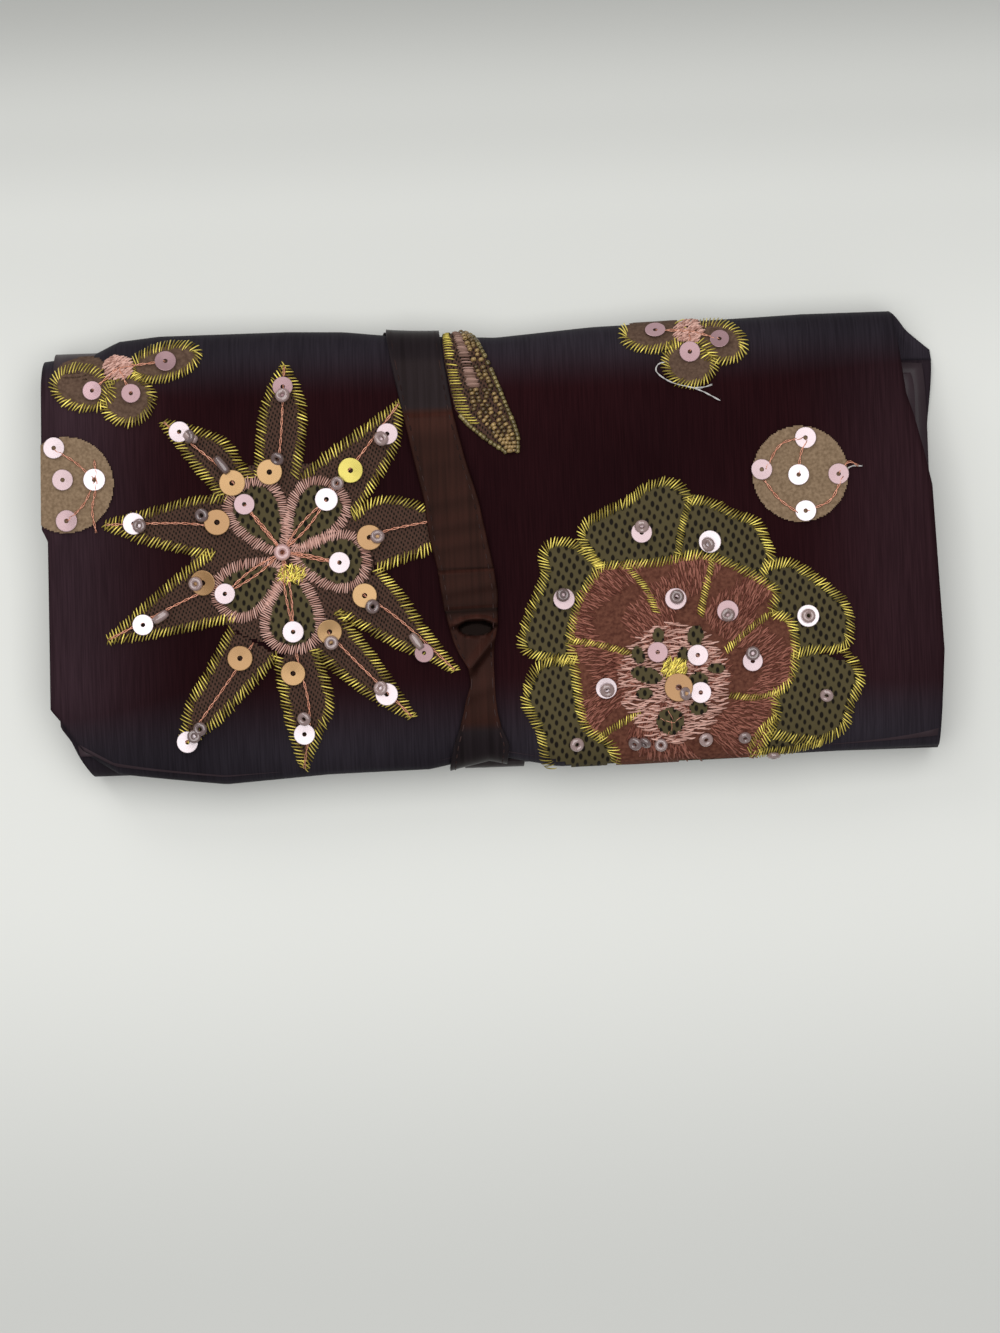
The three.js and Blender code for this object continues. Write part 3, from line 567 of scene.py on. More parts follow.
def outline_pull(x, y):
    """Pulls a plain rectangle into the roll's own uneven outline."""
    up, down = pull(y, PULL_FROM_Y, FOLD_OUT), pull(-y, PULL_FROM_Y, -HEM_Y)
    left, right = pull(-x, PULL_FROM_X, HALF_WIDTH), pull(x, PULL_FROM_X, HALF_WIDTH)
    new_x = x + left * graph(LEFT_EDGE, y) - right * graph(RIGHT_EDGE, y)
    return new_x, y + up * graph(TOP_EDGE, x) - down * graph(LOW_EDGE, x)


print("pull at the upper left corner", outline_pull(-HALF_WIDTH, FOLD_OUT))

# %% [markdown]
# ## Dents and unevenness
# Wadding never lies flat. Sculpting would do, but a few crossing waves, one long dent and the line that the
# tie presses in are easier to move and to measure.

# %% Dents and unevenness
DENT_ENDS = spot([(583, 386), (692, 482)])
TIE_EDGES = [(322, 382, 436), (345, 386, 440), (380, 394, 447), (413, 402, 453), (458, 413, 465)]
TIE_EDGES += [(501, 424, 479), (537, 429, 487), (568, 437, 494), (592, 441, 498), (610, 444, 498)]
TIE_EDGES += [(627, 449, 498), (641, 453, 495), (654, 459, 494), (668, 468, 494), (684, 471, 495)]
TIE_EDGES += [(699, 466, 496), (713, 463, 498), (727, 459, 502), (742, 453, 510), (762, 448, 508)]
TIE_LEFT = [(left, y) for y, left, _ in TIE_EDGES]
TIE_RIGHT = [(right, y) for y, _, right in TIE_EDGES]
LONG_WAVE = 0.32
LONG_X = 17
LONG_Y = 19
LONG_SHIFT = 0.8
SWAY = 0.6
SWAY_Y = 23
SHORT_WAVE = 0.16
SHORT_X = 8.3
SHORT_Y = 12
SHORT_FADE_X = 31
DENT_DEPTH = 1.1
DENT_WIDTH = 4.5
DENT_LENGTH = 15
TIE_PRESS = 0.8
TIE_PRESS_WIDTH = 13


def edge_x(edge, y):
    """X of an edge in photo pixels, at one or more Y in millimetres."""
    line = spot(edge)
    return np.interp(-y, -line[:, 1], line[:, 0])


def tie_centre(y):
    return (edge_x(TIE_LEFT, y) + edge_x(TIE_RIGHT, y)) / 2


def tie_width(y):
    return edge_x(TIE_RIGHT, y) - edge_x(TIE_LEFT, y)


def handled(x, y):
    """Soft unevenness of the padded front, in millimetres of height."""
    waves = LONG_WAVE * np.sin(x / LONG_X + SWAY * np.sin(y / SWAY_Y)) * np.sin(y / LONG_Y + LONG_SHIFT)
    waves += SHORT_WAVE * np.sin(x / SHORT_X + y / SHORT_Y) * np.sin(x / SHORT_FADE_X)
    start, end = DENT_ENDS
    along = unit(end - start)
    off_x, off_y = x - (start + end)[0] / 2, y - (start + end)[1] / 2
    across = -off_x * along[1] + off_y * along[0]
    length = off_x * along[0] + off_y * along[1]
    dent = -DENT_DEPTH * np.exp(-((across / DENT_WIDTH) ** 2)) * np.exp(-((length / DENT_LENGTH) ** 2))
    pressed = -TIE_PRESS * np.exp(-(((x - tie_centre(y)) / TIE_PRESS_WIDTH) ** 2))
    return waves + dent + pressed


print("tie is", tie_width(0.0).round(1), "mm wide half way down")

# %% [markdown]
# ## The cover's grid
# Every section across the roll has the same number of points, so the sections make one grid, and a place on
# the front can be found by two numbers.

# %% The cover's grid
FRONT_MIDDLE_Y = -4
FRONT_REACH = 48.4
HEM_ROUND = 2.6
FOLD_STEPS = 14
FRONT_STEPS = 140
HEM_STEPS = 48
STATIONS = 133


def front_height(x, y):
    u = np.clip(x / HALF_WIDTH, -1, 1)
    v = np.clip((y - FRONT_MIDDLE_Y) / FRONT_REACH, -1, 1)
    return COVER_TOP + CROWN * (1 - u**4) * (1 - v**4) + handled(x, y) * (1 - u**8) * (1 - v**8)


def cover_section(x):
    """The YZ points of one section of the cover, from the middle of the fold to the hem."""
    turn = np.radians(np.linspace(90, 180, FOLD_STEPS))[:-1]
    fold = np.stack([FOLD_Y + FOLD_RADIUS * np.sin(turn), FOLD_RADIUS - FOLD_RADIUS * np.cos(turn)], 1)
    y = np.linspace(FOLD_Y, SHOULDER_Y, FRONT_STEPS)[:-1]
    front = np.stack([y, front_height(x, y)], 1)
    sweep = np.radians(np.linspace(0, 90, HEM_STEPS))
    power = 2 / HEM_ROUND
    top = front_height(x, np.array([SHOULDER_Y]))[0]
    low_y = SHOULDER_Y + (HEM_Y - SHOULDER_Y) * np.sin(sweep) ** power
    low_z = HEM_Z + (top - HEM_Z) * np.cos(sweep) ** power
    return np.concatenate([fold, front, np.stack([low_y, low_z], 1)])


def normals(grid):
    across, down = np.gradient(grid, axis=0), np.gradient(grid, axis=1)
    return unit(np.cross(down, across))


stations = np.linspace(-HALF_WIDTH, HALF_WIDTH, STATIONS)
sections = np.array([cover_section(x) for x in stations])
pulled_x, pulled_y = outline_pull(np.repeat(stations[:, None], sections.shape[1], 1), sections[:, :, 0])
SKIN = np.stack([pulled_x, pulled_y, sections[:, :, 1]], 2)
SKIN_NORMAL = normals(SKIN)
print("front grid", SKIN.shape, "top", SKIN[:, :, 2].max().round(1))

# %% [markdown]
# ## Laying things on the cover
# Patches, stitches and beads follow the padded front. A Shrinkwrap modifier could lay them, but it moves
# along one direction and pinches at the edges, so places are looked up in the grid itself.


# %% Laying things on the cover
def amid(grid, rows, columns, down, across):
    """Places between four neighbours in a grid."""
    near = part_way(grid[rows, columns], grid[rows, columns + 1], across)
    far = part_way(grid[rows + 1, columns], grid[rows + 1, columns + 1], across)
    return part_way(near, far, down)


def lay(points, height):
    """Lays plan points at a height above the cover. Returns places, normals and which are on it."""
    points = np.asarray(points, float)
    height = np.broadcast_to(np.asarray(height, float), len(points))
    count, last = np.arange(len(points)), SKIN.shape[1] - 2
    i = np.interp(points[:, 0], stations, np.arange(len(stations)))
    for _ in range(3):
        low = np.clip(i, 0, len(stations) - 1.001).astype(int)
        part = np.clip(i - low, 0, 1)[:, None]
        row_y = part_way(SKIN[low, :, 1], SKIN[low + 1, :, 1], part)
        j = np.clip((row_y > points[:, 1:2]).sum(1) - 1, 0, last)
        before, after = row_y[count, j], row_y[count, j + 1]
        share = np.clip((before - points[:, 1]) / (before - after + TINY), 0, 1)
        left = part_way(SKIN[low, j, 0], SKIN[low, j + 1, 0], share)
        right = part_way(SKIN[low + 1, j, 0], SKIN[low + 1, j + 1, 0], share)
        i = low + (points[:, 0] - left) / (right - left + TINY)
    part, share = np.clip(i - low, 0, 1)[:, None], share[:, None]
    normal = amid(SKIN_NORMAL, low, j, part, share)
    on = (row_y[:, -1] < points[:, 1] + 0.2) & (row_y[:, 0] > points[:, 1] - 0.2)
    on &= (points[:, 0] > left - 2) & (points[:, 0] < right + 2)
    return amid(SKIN, low, j, part, share) + normal * height[:, None], normal, on


def across_row(j, x, height):
    """Places on one row of the cover's grid, which also works round the fold."""
    i = np.interp(x, SKIN[:, j, 0], np.arange(len(stations)))
    low = np.clip(i.astype(int), 0, len(stations) - 2)
    part = (i - low)[:, None]
    place = part_way(SKIN[low, j], SKIN[low + 1, j], part)
    normal = part_way(SKIN_NORMAL[low, j], SKIN_NORMAL[low + 1, j], part)
    return place + normal * np.asarray(height)[:, None]


print("middle of the cover", lay([(0, 0)], 0.0)[0].round(1))

# %% [markdown]
# ## Stitches, sequins and beads
# You make one small template of each thing and a Geometry Nodes tree that sets it on many points.
# Every point carries its own direction, the way it faces and its size, and each copy gets a random shade.

# %% Stitches, sequins and beads
STITCH_ALONG = np.array([-0.5, -0.36, 0.0, 0.36, 0.5])
STITCH_RADIUS = np.array([0.12, 0.42, 0.5, 0.42, 0.12])
STITCH_SIDES = 5
STITCH_DIP = 1.1
SEQUIN_PROFILE = [(0.22, 0.0), (0.96, 0.05), (1.0, 0.08), (0.96, 0.1), (0.22, 0.05)]
SEQUIN_SIDES = 24
BEAD_MIDDLE = 0.62
BEAD_REACH = (0.38, 0.42)
BEAD_STEPS = 9
BEAD_SIDES = 14


def turned_template(name, profile, sides):
    """A unit template turned round Z from a closed profile of radius and height."""
    turn = full_turn(sides)
    ring = np.stack([np.cos(turn), np.sin(turn)], 1)
    points = [np.c_[ring * r, np.full(sides, z)] for r, z in profile]
    faces = ring_faces(len(profile), sides, closed=True)
    return make(name, np.concatenate(points) / MM, faces, seam_thread)


def stitch_template():
    """A plump thread of unit length along X that dips into the cloth at both ends."""
    turn = full_turn(STITCH_SIDES)
    along, radius = STITCH_ALONG[:, None], STITCH_RADIUS[:, None]
    z = radius * np.sin(turn) - STITCH_DIP * (2 * along) ** 4
    points = np.stack([np.repeat(along, STITCH_SIDES, 1), radius * np.cos(turn), z], 2).reshape(-1, 3)
    faces = ring_faces(len(along), STITCH_SIDES)
    return make("stitch_template", points / MM, faces, seam_thread)


def bead_profile():
    turn = full_turn(BEAD_STEPS)
    return np.c_[BEAD_MIDDLE + BEAD_REACH[0] * np.cos(turn), BEAD_REACH[1] * np.sin(turn)]


TEMPLATES = {
    "stitch": stitch_template(),
    "sequin": turned_template("sequin_template", SEQUIN_PROFILE, SEQUIN_SIDES),
    "bead": turned_template("bead_template", bead_profile(), BEAD_SIDES),
}
print("templates", sorted(TEMPLATES))

# %% [markdown]
# ## A tree that sets copies on points
# There are thousands of stitches and hundreds of beads. Copies made by hand would be slow, so one Geometry
# Nodes tree turns a template to each point's direction, scales it, gives it a shade and realises it.


# %% A tree that sets copies on points
def scatter_tree():
    tree = bpy.data.node_groups.new("Set on cloth", "GeometryNodeTree")
    inputs = {"Points": "Geometry", "Template": "Object", "Finish": "Material", "Seed": "Int"}
    for name, kind in inputs.items():
        tree.interface.new_socket(name, in_out="INPUT", socket_type="NodeSocket" + kind)
    tree.interface.new_socket("Copies", in_out="OUTPUT", socket_type="NodeSocketGeometry")
    nodes = tree.nodes
    entry = nodes.new("NodeGroupInput")
    leave = nodes.new("NodeGroupOutput")
    read = {}
    for label in ("along", "facing", "size"):
        read[label] = nodes.new("GeometryNodeInputNamedAttribute")
        read[label].data_type = "FLOAT_VECTOR"
        read[label].inputs["Name"].default_value = label
    point_x = nodes.new("FunctionNodeAlignRotationToVector")
    point_x.axis = "X"
    face_z = nodes.new("FunctionNodeAlignRotationToVector")
    face_z.axis = "Z"
    face_z.pivot_axis = "X"
    info = nodes.new("GeometryNodeObjectInfo")
    place = nodes.new("GeometryNodeInstanceOnPoints")
    shade = nodes.new("FunctionNodeRandomValue")
    store = nodes.new("GeometryNodeStoreNamedAttribute")
    store.domain = "INSTANCE"
    store.inputs["Name"].default_value = "shade"
    realize = nodes.new("GeometryNodeRealizeInstances")
    finish = nodes.new("GeometryNodeSetMaterial")
    wires = [
        (read["along"], "Attribute", point_x, "Vector"),
        (point_x, "Rotation", face_z, "Rotation"),
        (read["facing"], "Attribute", face_z, "Vector"),
        (entry, "Points", place, "Points"),
        (entry, "Template", info, "Object"),
        (info, "Geometry", place, "Instance"),
        (face_z, "Rotation", place, "Rotation"),
        (read["size"], "Attribute", place, "Scale"),
        (place, "Instances", store, "Geometry"),
        (entry, "Seed", shade, "Seed"),
        (shade, 1, store, "Value"),
        (store, "Geometry", realize, "Geometry"),
        (realize, "Geometry", finish, "Geometry"),
        (entry, "Finish", finish, "Material"),
        (finish, "Geometry", leave, "Copies"),
    ]
    for source, output, target, socket in wires:
        tree.links.new(source.outputs[output], target.inputs[socket])
    return tree


SCATTER = scatter_tree()
SOCKETS = {s.name: s.identifier for s in SCATTER.interface.items_tree if s.in_out == "INPUT"}


def scatter(name, template, finish, rows, seed=1):
    """Sets copies of a template on rows of place, direction, facing and size, as one mesh."""
    rows = np.asarray(rows, float)
    points = bpy.data.meshes.new(name)
    points.from_pydata((rows[:, :3] * MM).tolist(), [], [])
    for label, values in (("along", rows[:, 3:6]), ("facing", rows[:, 6:9]), ("size", rows[:, 9:12] * MM)):
        points.attributes.new(label, "FLOAT_VECTOR", "POINT").data.foreach_set("vector", values.ravel())
    obj = bpy.data.objects.new(name, points)
    bpy.context.scene.collection.objects.link(obj)
    modifier = obj.modifiers.new("Set on cloth", "NODES")
    modifier.node_group = SCATTER
    modifier[SOCKETS["Template"]] = TEMPLATES[template]
    modifier[SOCKETS["Finish"]] = finish
    modifier[SOCKETS["Seed"]] = seed
    found = obj.evaluated_get(bpy.context.evaluated_depsgraph_get())
    mesh = bpy.data.meshes.new_from_object(found)
    obj.modifiers.clear()
    obj.data = mesh
    mesh.polygons.foreach_set("use_smooth", [template != "sequin"] * len(mesh.polygons))
    return obj


def loose_turn(facing):
    """A random direction square to the way each copy faces."""
    return np.cross(facing, rng.normal(size=facing.shape))


def between(starts, ends, facing, thickness):
    """Scatter rows for stitches from one set of places to another."""
    run = ends - starts
    length = np.linalg.norm(run, axis=1)[:, None]
    thick = np.broadcast_to(np.asarray(thickness, float), len(run))[:, None]
    return np.concatenate([(starts + ends) / 2, unit(run), facing, length, thick, thick], 1)


def seam(name, path, facing, body):
    """A running seam of single stitches along a line of places in space."""
    stitch, gap, thickness = 2.2, 1.0, 0.35
    line = curve(path, stitch + gap)
    along = unit(np.gradient(line, axis=0))
    up = np.broadcast_to(np.asarray(facing, float), line.shape)
    rows = between(line - along * stitch / 2, line + along * stitch / 2, up, thickness)
    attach(scatter(name, "stitch", seam_thread, rows), body)


print("inputs of the tree", sorted(SOCKETS))

# %% [markdown]
# ## Outer cloths
# The silk crosses two hinge lines at each fold, and a mesh can bend across one joint only.
# So the cloth is cut in the middle of each fold into two pieces.

# %% Outer cloths
ARC_STEPS = 16
STRIP_STEPS = 60
CLOTH_GAP = 0.1
LINING_GAP = 0.2
CORNER_FROM = (36, 4)


def arc_section(centre_y, radius, side, from_angle, to_angle):
    """YZ points round a fold and the way each faces. Angles start straight down."""
    turn = np.radians(np.linspace(from_angle, to_angle, ARC_STEPS))
    out = np.stack([side * np.sin(turn), -np.cos(turn)], 1)
    return np.array([centre_y, radius]) + out * radius, out


def strip(name, section, out, thickness, material, left, right, count=STRIP_STEPS):
    """A cloth along a YZ section, between two X places for each point of the section."""
    share = np.linspace(0, 1, count)[:, None]
    x = part_way(np.broadcast_to(left, len(section)), np.broadcast_to(right, len(section)), share)
    y, z = (np.broadcast_to(section[:, k], x.shape) for k in (0, 1))
    outer = np.stack([x, y, z], 2)
    inner = outer.copy()
    inner[:, :, 1:] -= out * thickness
    run = section[1] - section[0]
    upward = run @ [out[0, 1], -out[0, 0]] > 0
    return slab(name, outer, inner, material) if upward else slab(name, inner, outer, material)


def corner_in(x, y):
    """Draws the inner layers in at the lower left corner, where the cover is drawn in too."""
    left = pull(-x, PULL_FROM_X, HALF_WIDTH)
    return x + left * np.clip(graph(LEFT_EDGE, y), 0, None) * rise(-y, CORNER_FROM)


def draw_in(obj):
    for v in obj.data.vertices:
        v.co.x = corner_in(v.co.x / MM, v.co.y / MM) * MM


def pull_fold(obj):
    """Gives a strip round the fold the same uneven top edge as the cover."""
    for v in obj.data.vertices:
        up = pull(v.co.y / MM, PULL_FROM_Y, FOLD_OUT)
        v.co.y += graph(TOP_EDGE, v.co.x / MM) * up * smooth(v.co.z / MM / FOLD_RADIUS) * MM


def bend_over_fold(obj):
    """Bakes the transform of what lies on the cover and the upper half of its fold into its mesh."""
    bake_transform(obj)


def bend_under_fold(obj):
    """Bakes the transform of a cloth round the lower half of the cover's fold into its mesh."""
    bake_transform(obj)


def tag_all(obj, name, level):
    tag(obj, name, np.full(len(obj.data.vertices), level))


def line_fold(panel, centre_y, radius, side, turns, ends_in):
    """Satin inside a fold, in two pieces, a low one and a high one."""
    fold = panel + "_fold"
    lining_in = radius - SILK - LINING_GAP
    left, right = -HALF_WIDTH + ends_in[0], HALF_WIDTH - ends_in[1]
    for k, label in enumerate(("low", "high")):
        section, out = arc_section(centre_y, radius, side, turns[k], turns[k + 1])
        section = section - out * (radius - lining_in)
        cloth = strip(f"{fold}_lining_{label}", section, out, CLOTH, lining_satin, left, right)
        draw_in(cloth)
        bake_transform(cloth)
    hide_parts(fold + "_lining")


# %% [markdown]
# ## Cover
# The cover is a padded silk panel, so it is one closed pad with a crowned front and a level back.
# Its points carry painted light: sheen and shade where the silk turns away, near its upper and lower edges
# and towards both ends, and a painted highlight towards both ends.

# %% Cover
PAD_SKIN = 0.8
LEVEL_FROM = 1.6
# From BEND_TURN down, the numbers place painted sheen and shade and a painted highlight on the silk.
BEND_TURN = 2.2
LEFT_SHINE = (72, 34)
RIGHT_SHINE = (70, 30)
LOW_TURN = (30, 20)
HIGH_TURN = (38, 14)
EDGE_TURN = 0.9
SIDE_TURNS = (0.35, 0.2)
SIDE_SHINES = (0.8, 0.35)


def dress_cover():
    inside = SKIN - SKIN_NORMAL * PAD_SKIN
    flat = (sections[:, :, 0] < FOLD_Y) & (sections[:, :, 1] > COVER_LINING + LEVEL_FROM)
    floor_z = COVER_LINING + CLOTH + CLOTH_GAP
    inside[:, :, 2] = np.where(flat, np.minimum(inside[:, :, 2], floor_z), inside[:, :, 2])
    pad = slab("cover_pad", SKIN[:, ::-1], inside[:, ::-1], silk)
    # Painted sheen and shade go into `turned`, and a painted highlight into `shine`.
    x, y = SKIN[:, ::-1, 0], SKIN[:, ::-1, 1]
    left, right = rise(-x, LEFT_SHINE), rise(x, RIGHT_SHINE)
    edges = np.maximum(rise(-y, LOW_TURN), rise(y, HIGH_TURN))
    bent = smooth((1 - SKIN_NORMAL[:, ::-1, 2]) * BEND_TURN)
    sides = SIDE_TURNS[0] * left + SIDE_TURNS[1] * right
    turned = np.maximum.reduce([bent, EDGE_TURN * edges, sides])
    tag(pad, "turned", np.concatenate([turned, turned]))
    shine = (SIDE_SHINES[0] * left + SIDE_SHINES[1] * right) * (1 - edges)
    tag(pad, "painted_light", np.concatenate([shine, shine]))
    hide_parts("cover_silk", "cover_wadding")
    bend_over_fold(pad)


dress_cover()
print("cover done")

# %% [markdown]
# ## Fold of the cover
# At the upper edge the silk goes round to the back with a lining inside it. Its right end is tucked in,
# so the strip has a right edge of its own at each step round the fold.

# %% Fold of the cover
FOLD_END_TURNS = (0, 18, 50, 90)
FOLD_END_IN = (-2.0, -1.6, 4.6, 9.6)
FOLD_LEFT_IN = 0.6
FOLD_SHINE = (88, 12)
FOLD_LINING_TURNS = (3, 90, 172)
FOLD_LINING_IN = (2, 10)


def dress_cover_fold():
    section, out = arc_section(FOLD_Y, FOLD_RADIUS, 1, 0, 90)
    right = np.interp(np.linspace(0, 90, ARC_STEPS), FOLD_END_TURNS, HALF_WIDTH - np.array(FOLD_END_IN))
    fold = strip("cover_fold_cloth", section, out, SILK, silk, -HALF_WIDTH + FOLD_LEFT_IN, right)
    pull_fold(fold)
    # Painted sheen and shade all round the fold, and a painted highlight towards its right end
    # (FOLD_SHINE).
    tag_all(fold, "turned", 0.9)
    tag(fold, "painted_light", [0.8 * rise(v.co.x / MM, FOLD_SHINE) for v in fold.data.vertices])
    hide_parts("cover_fold_silk")
    bend_under_fold(fold)
    line_fold("cover", FOLD_Y, FOLD_RADIUS, 1, FOLD_LINING_TURNS, FOLD_LINING_IN)


dress_cover_fold()
print("fold done")

# %% [markdown]
# ## Back
# The back panel lies on the table. The tie runs under it in two places and presses a shallow groove there.
# The groove could be sculpted, but one worked out from the tie's own places fits the tie.

# %% Back
TIE_SEWN_Y = 16
TIE_SEWN_X = -24.5
TIE_START_X = -22.5
TIE_LOW_X = -2.0
TIE_DENT_TOP_X = -6.6
TIE_DENT = 0.75
TIE_DENT_HALF = 7.6
BACK_GRID = (151, 70)
BACK_ROUND = 5
BACK_RIM = 2.0
BACK_RIM_LIFT = 1.1
BACK_RIM_IN = 0.004
BACK_SHOWS = (0.3, 1.9)
BACK_SHOWS_X = (100, 10)
BACK_SHOWS_Y = (22, 22)


def back_dent(x, y):
    """How deep the tie presses into the underside."""
    run = np.interp(y, [FLAP_Y, FOLD_Y], [TIE_LOW_X, TIE_DENT_TOP_X])
    start = np.interp(y, [TIE_SEWN_Y, FOLD_Y], [TIE_SEWN_X, TIE_START_X])
    second = smooth(TIE_DENT_HALF - np.abs(x - run))
    first = smooth(TIE_DENT_HALF - np.abs(x - start)) * smooth(y - (TIE_SEWN_Y - 1))
    return TIE_DENT * np.maximum(first, second)


def dress_back():
    x = np.linspace(-HALF_WIDTH, HALF_WIDTH, BACK_GRID[0])[:, None] + np.zeros(BACK_GRID[1])
    y = np.linspace(FLAP_Y, FOLD_Y, BACK_GRID[1]) + np.zeros((BACK_GRID[0], 1))
    edge = smooth((HALF_WIDTH - np.abs(x)) / BACK_ROUND)
    low = back_dent(x, y) + BACK_RIM_LIFT * (1 - edge) ** 2
    high = BACK_RIM + (BACK_LINING - CLOTH - CLOTH_GAP - BACK_RIM) * edge
    side = corner_in(x * (1 - BACK_RIM_IN * (1 - edge)), y)
    side = side + rise(x, BACK_SHOWS_X) * (BACK_SHOWS[0] + BACK_SHOWS[1] * rise(y, BACK_SHOWS_Y))
    pad = slab("back_pad", np.stack([side, y, high], 2), np.stack([side, y, low], 2), silk)
    # Painted sheen and shade and a painted highlight, even all over the back.
    tag_all(pad, "turned", 0.6)
    tag_all(pad, "painted_light", 0.6)
    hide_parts("back_silk", "back_wadding")
    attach(pad, "back")


dress_back()
print("back done")

# %% [markdown]
# ## Inner flap
# A shorter panel folds in from the lower edge and lies under the cover. It is made as the cover is: a cloth
# round the lower half of its fold, and a pad that goes on round the upper half.

# %% Inner flap
FLAP_IN = 0.8
FLAP_RIM = 1.4
FLAP_RIM_STEPS = 9
FLAP_GRID = (90, 40)
FLAP_WAVE = 0.12
FLAP_EDGE_IN = 0.3
FLAP_LINING_TURNS = (-7, 90, 187)
FLAP_LINING_IN = (1, 1)


def dress_flap():
    section, out = arc_section(FLAP_Y, FLAP_RADIUS, -1, 0, 90)
    left, right = -HALF_WIDTH + FLAP_IN, HALF_WIDTH - FLAP_IN
    fold = strip("flap_fold_cloth", section, out, SILK, silk, left, right)
    draw_in(fold)
    # Painted sheen and shade round the flap's fold.
    tag_all(fold, "turned", 0.8)
    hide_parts("flap_fold_silk")
    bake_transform(fold)
    upper, _ = arc_section(FLAP_Y, FLAP_RADIUS, -1, 90, 180)
    rim_y, rim_z = FLAP_EDGE - FLAP_RIM, FLAP_TOP - FLAP_RIM
    flat_y = np.linspace(FLAP_Y, rim_y, FLAP_GRID[1])[1:]
    turn = np.radians(np.linspace(0, 90, FLAP_RIM_STEPS))[1:]
    rim = np.stack([rim_y + FLAP_RIM * np.sin(turn), rim_z + FLAP_RIM * np.cos(turn)], 1)
    section = np.concatenate([upper, np.stack([flat_y, np.full(len(flat_y), FLAP_TOP)], 1), rim])
    x = np.linspace(left, right, FLAP_GRID[0])
    wide = np.zeros((FLAP_GRID[0], 1))
    grid = np.stack([x[:, None] + np.zeros(len(section)), section[:, 0] + wide, section[:, 1] + wide], 2)
    on_flat = smooth((grid[:, :, 1] - FLAP_Y) / 4) * smooth((FLAP_EDGE - 2 - grid[:, :, 1]) / 3)
    grid[:, :, 2] -= on_flat * FLAP_WAVE * (1 + np.sin(grid[:, :, 0] / 9 + np.sin(grid[:, :, 1] / 7)))
    inside = grid + normals(grid) * SILK
    floor_z = FLAP_LINING + CLOTH + CLOTH_GAP
    flat_part = grid[:, :, 1] > FLAP_Y
    inside[:, :, 2] = np.where(flat_part, np.minimum(inside[:, :, 2], floor_z), inside[:, :, 2])
    inside[:, :, 1] = np.minimum(inside[:, :, 1], FLAP_EDGE - FLAP_EDGE_IN)
    pad = slab("flap_pad", grid, inside, silk)
    draw_in(pad)
    # Painted sheen and shade all over the flap.
    tag_all(pad, "turned", 0.8)
    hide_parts("flap_silk", "flap_wadding")
    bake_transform(pad)
    line_fold("flap", FLAP_Y, FLAP_RADIUS, -1, FLAP_LINING_TURNS, FLAP_LINING_IN)


dress_flap()
print("flap done")

# %% [markdown]
# ## Linings and pockets
# Each lining and pocket is a satin sheet in the place of its CAD ply. Pockets stand off their lining
# in the middle and are sewn down round three sides. Flat planes look like card, so a faint rumple is added.

# %% Linings and pockets
PANEL_GRID = (90, 40)
PANEL_ROUND = (0.008, 0.02)
LINING_RUMPLE = 0.06
POCKET_RUMPLE = 0.1
SEAM_IN = (3, 2)


def panel(node):
    """A grid over a node's box with softly rounded corners, and its -1 to 1 coordinates."""
    low, high = node_box(node)
    u, v = np.meshgrid(*(np.linspace(-1, 1, count) for count in PANEL_GRID), indexing="ij")
    x = (low[0] + high[0]) / 2 + (high[0] - low[0]) / 2 * u * (1 - PANEL_ROUND[0] * v**8)
    y = (low[1] + high[1]) / 2 + (high[1] - low[1]) / 2 * v * (1 - PANEL_ROUND[1] * u**8)
    return low, high, u, v, x, y


def rumple(x, y, size):
    return size * np.sin(x / 11 + 1.7 * np.sin(y / 9)) * np.cos(y / 8 + 0.5 * np.sin(x / 15))


def line_with(node, body):
    low, high, u, v, x, y = panel(node)
    x, y = outline_pull(x, y) if body == "cover" else (corner_in(x, y), y)
    face = rumple(x, y, LINING_RUMPLE) * (1 - u**8) * (1 - v**8)
    top, bottom = high[2] - LINING_RUMPLE + face, low[2] + LINING_RUMPLE + face
    cloth = slab(node + "_satin", np.stack([x, y, top], 2), np.stack([x, y, bottom], 2), lining_satin)
    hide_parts(node)
    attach(cloth, body)


def hang_pocket(node, body, open_side, up):
    """A pocket cloth, open at one end of Y, that stands off its lining upwards or downwards."""
    low, high, u, v, x, y = panel(node)
    shut = np.maximum(np.abs(u) ** 40, np.clip(-v * open_side, 0, 1) ** 12)
    sewn, free = (low[2], high[2] - CLOTH) if up > 0 else (high[2] - CLOTH, low[2])
    base = free + (sewn - free) * shut + rumple(x, y, POCKET_RUMPLE) * (1 - shut)
    base = np.clip(base, low[2], high[2] - CLOTH)
    outer, inner = np.stack([x, y, base + CLOTH], 2), np.stack([x, y, base], 2)
    cloth = slab(node + "_satin", outer, inner, lining_satin)
    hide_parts(node)
    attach(cloth, body)
    face_z = free + CLOTH + CLOTH_GAP if up > 0 else free - CLOTH_GAP
    in_x, in_y = SEAM_IN
    for label, edge in (("left", low[0] + in_x), ("right", high[0] - in_x)):
        path = [(edge, low[1] + in_y, face_z), (edge, high[1] - in_y, face_z)]
        seam(f"{node}_seam_{label}", path, (0, 0, up), body)


for body in ("back", "cover", "flap"):
    line_with(body + "_lining", body)
hang_pocket("back_slip_pocket", "back", 1, 1)
for body in ("cover", "flap"):
    fold_low = node_box(body + "_pocket_fold_side")[0][1]
    hem_low = node_box(body + "_pocket_hem_side")[0][1]
    toward = 1 if hem_low > fold_low else -1
    hang_pocket(body + "_pocket_fold_side", body, toward, -1)
    hang_pocket(body + "_pocket_hem_side", body, -toward, -1)
print("linings and pockets done")

# %% [markdown]
# ## Zips and brass
# The tape is a woven strip, and the coil is a row of small nylon loops on each side, half a step apart.
# Sliders, pulls, stops and the snap keep their CAD shape and get brass.

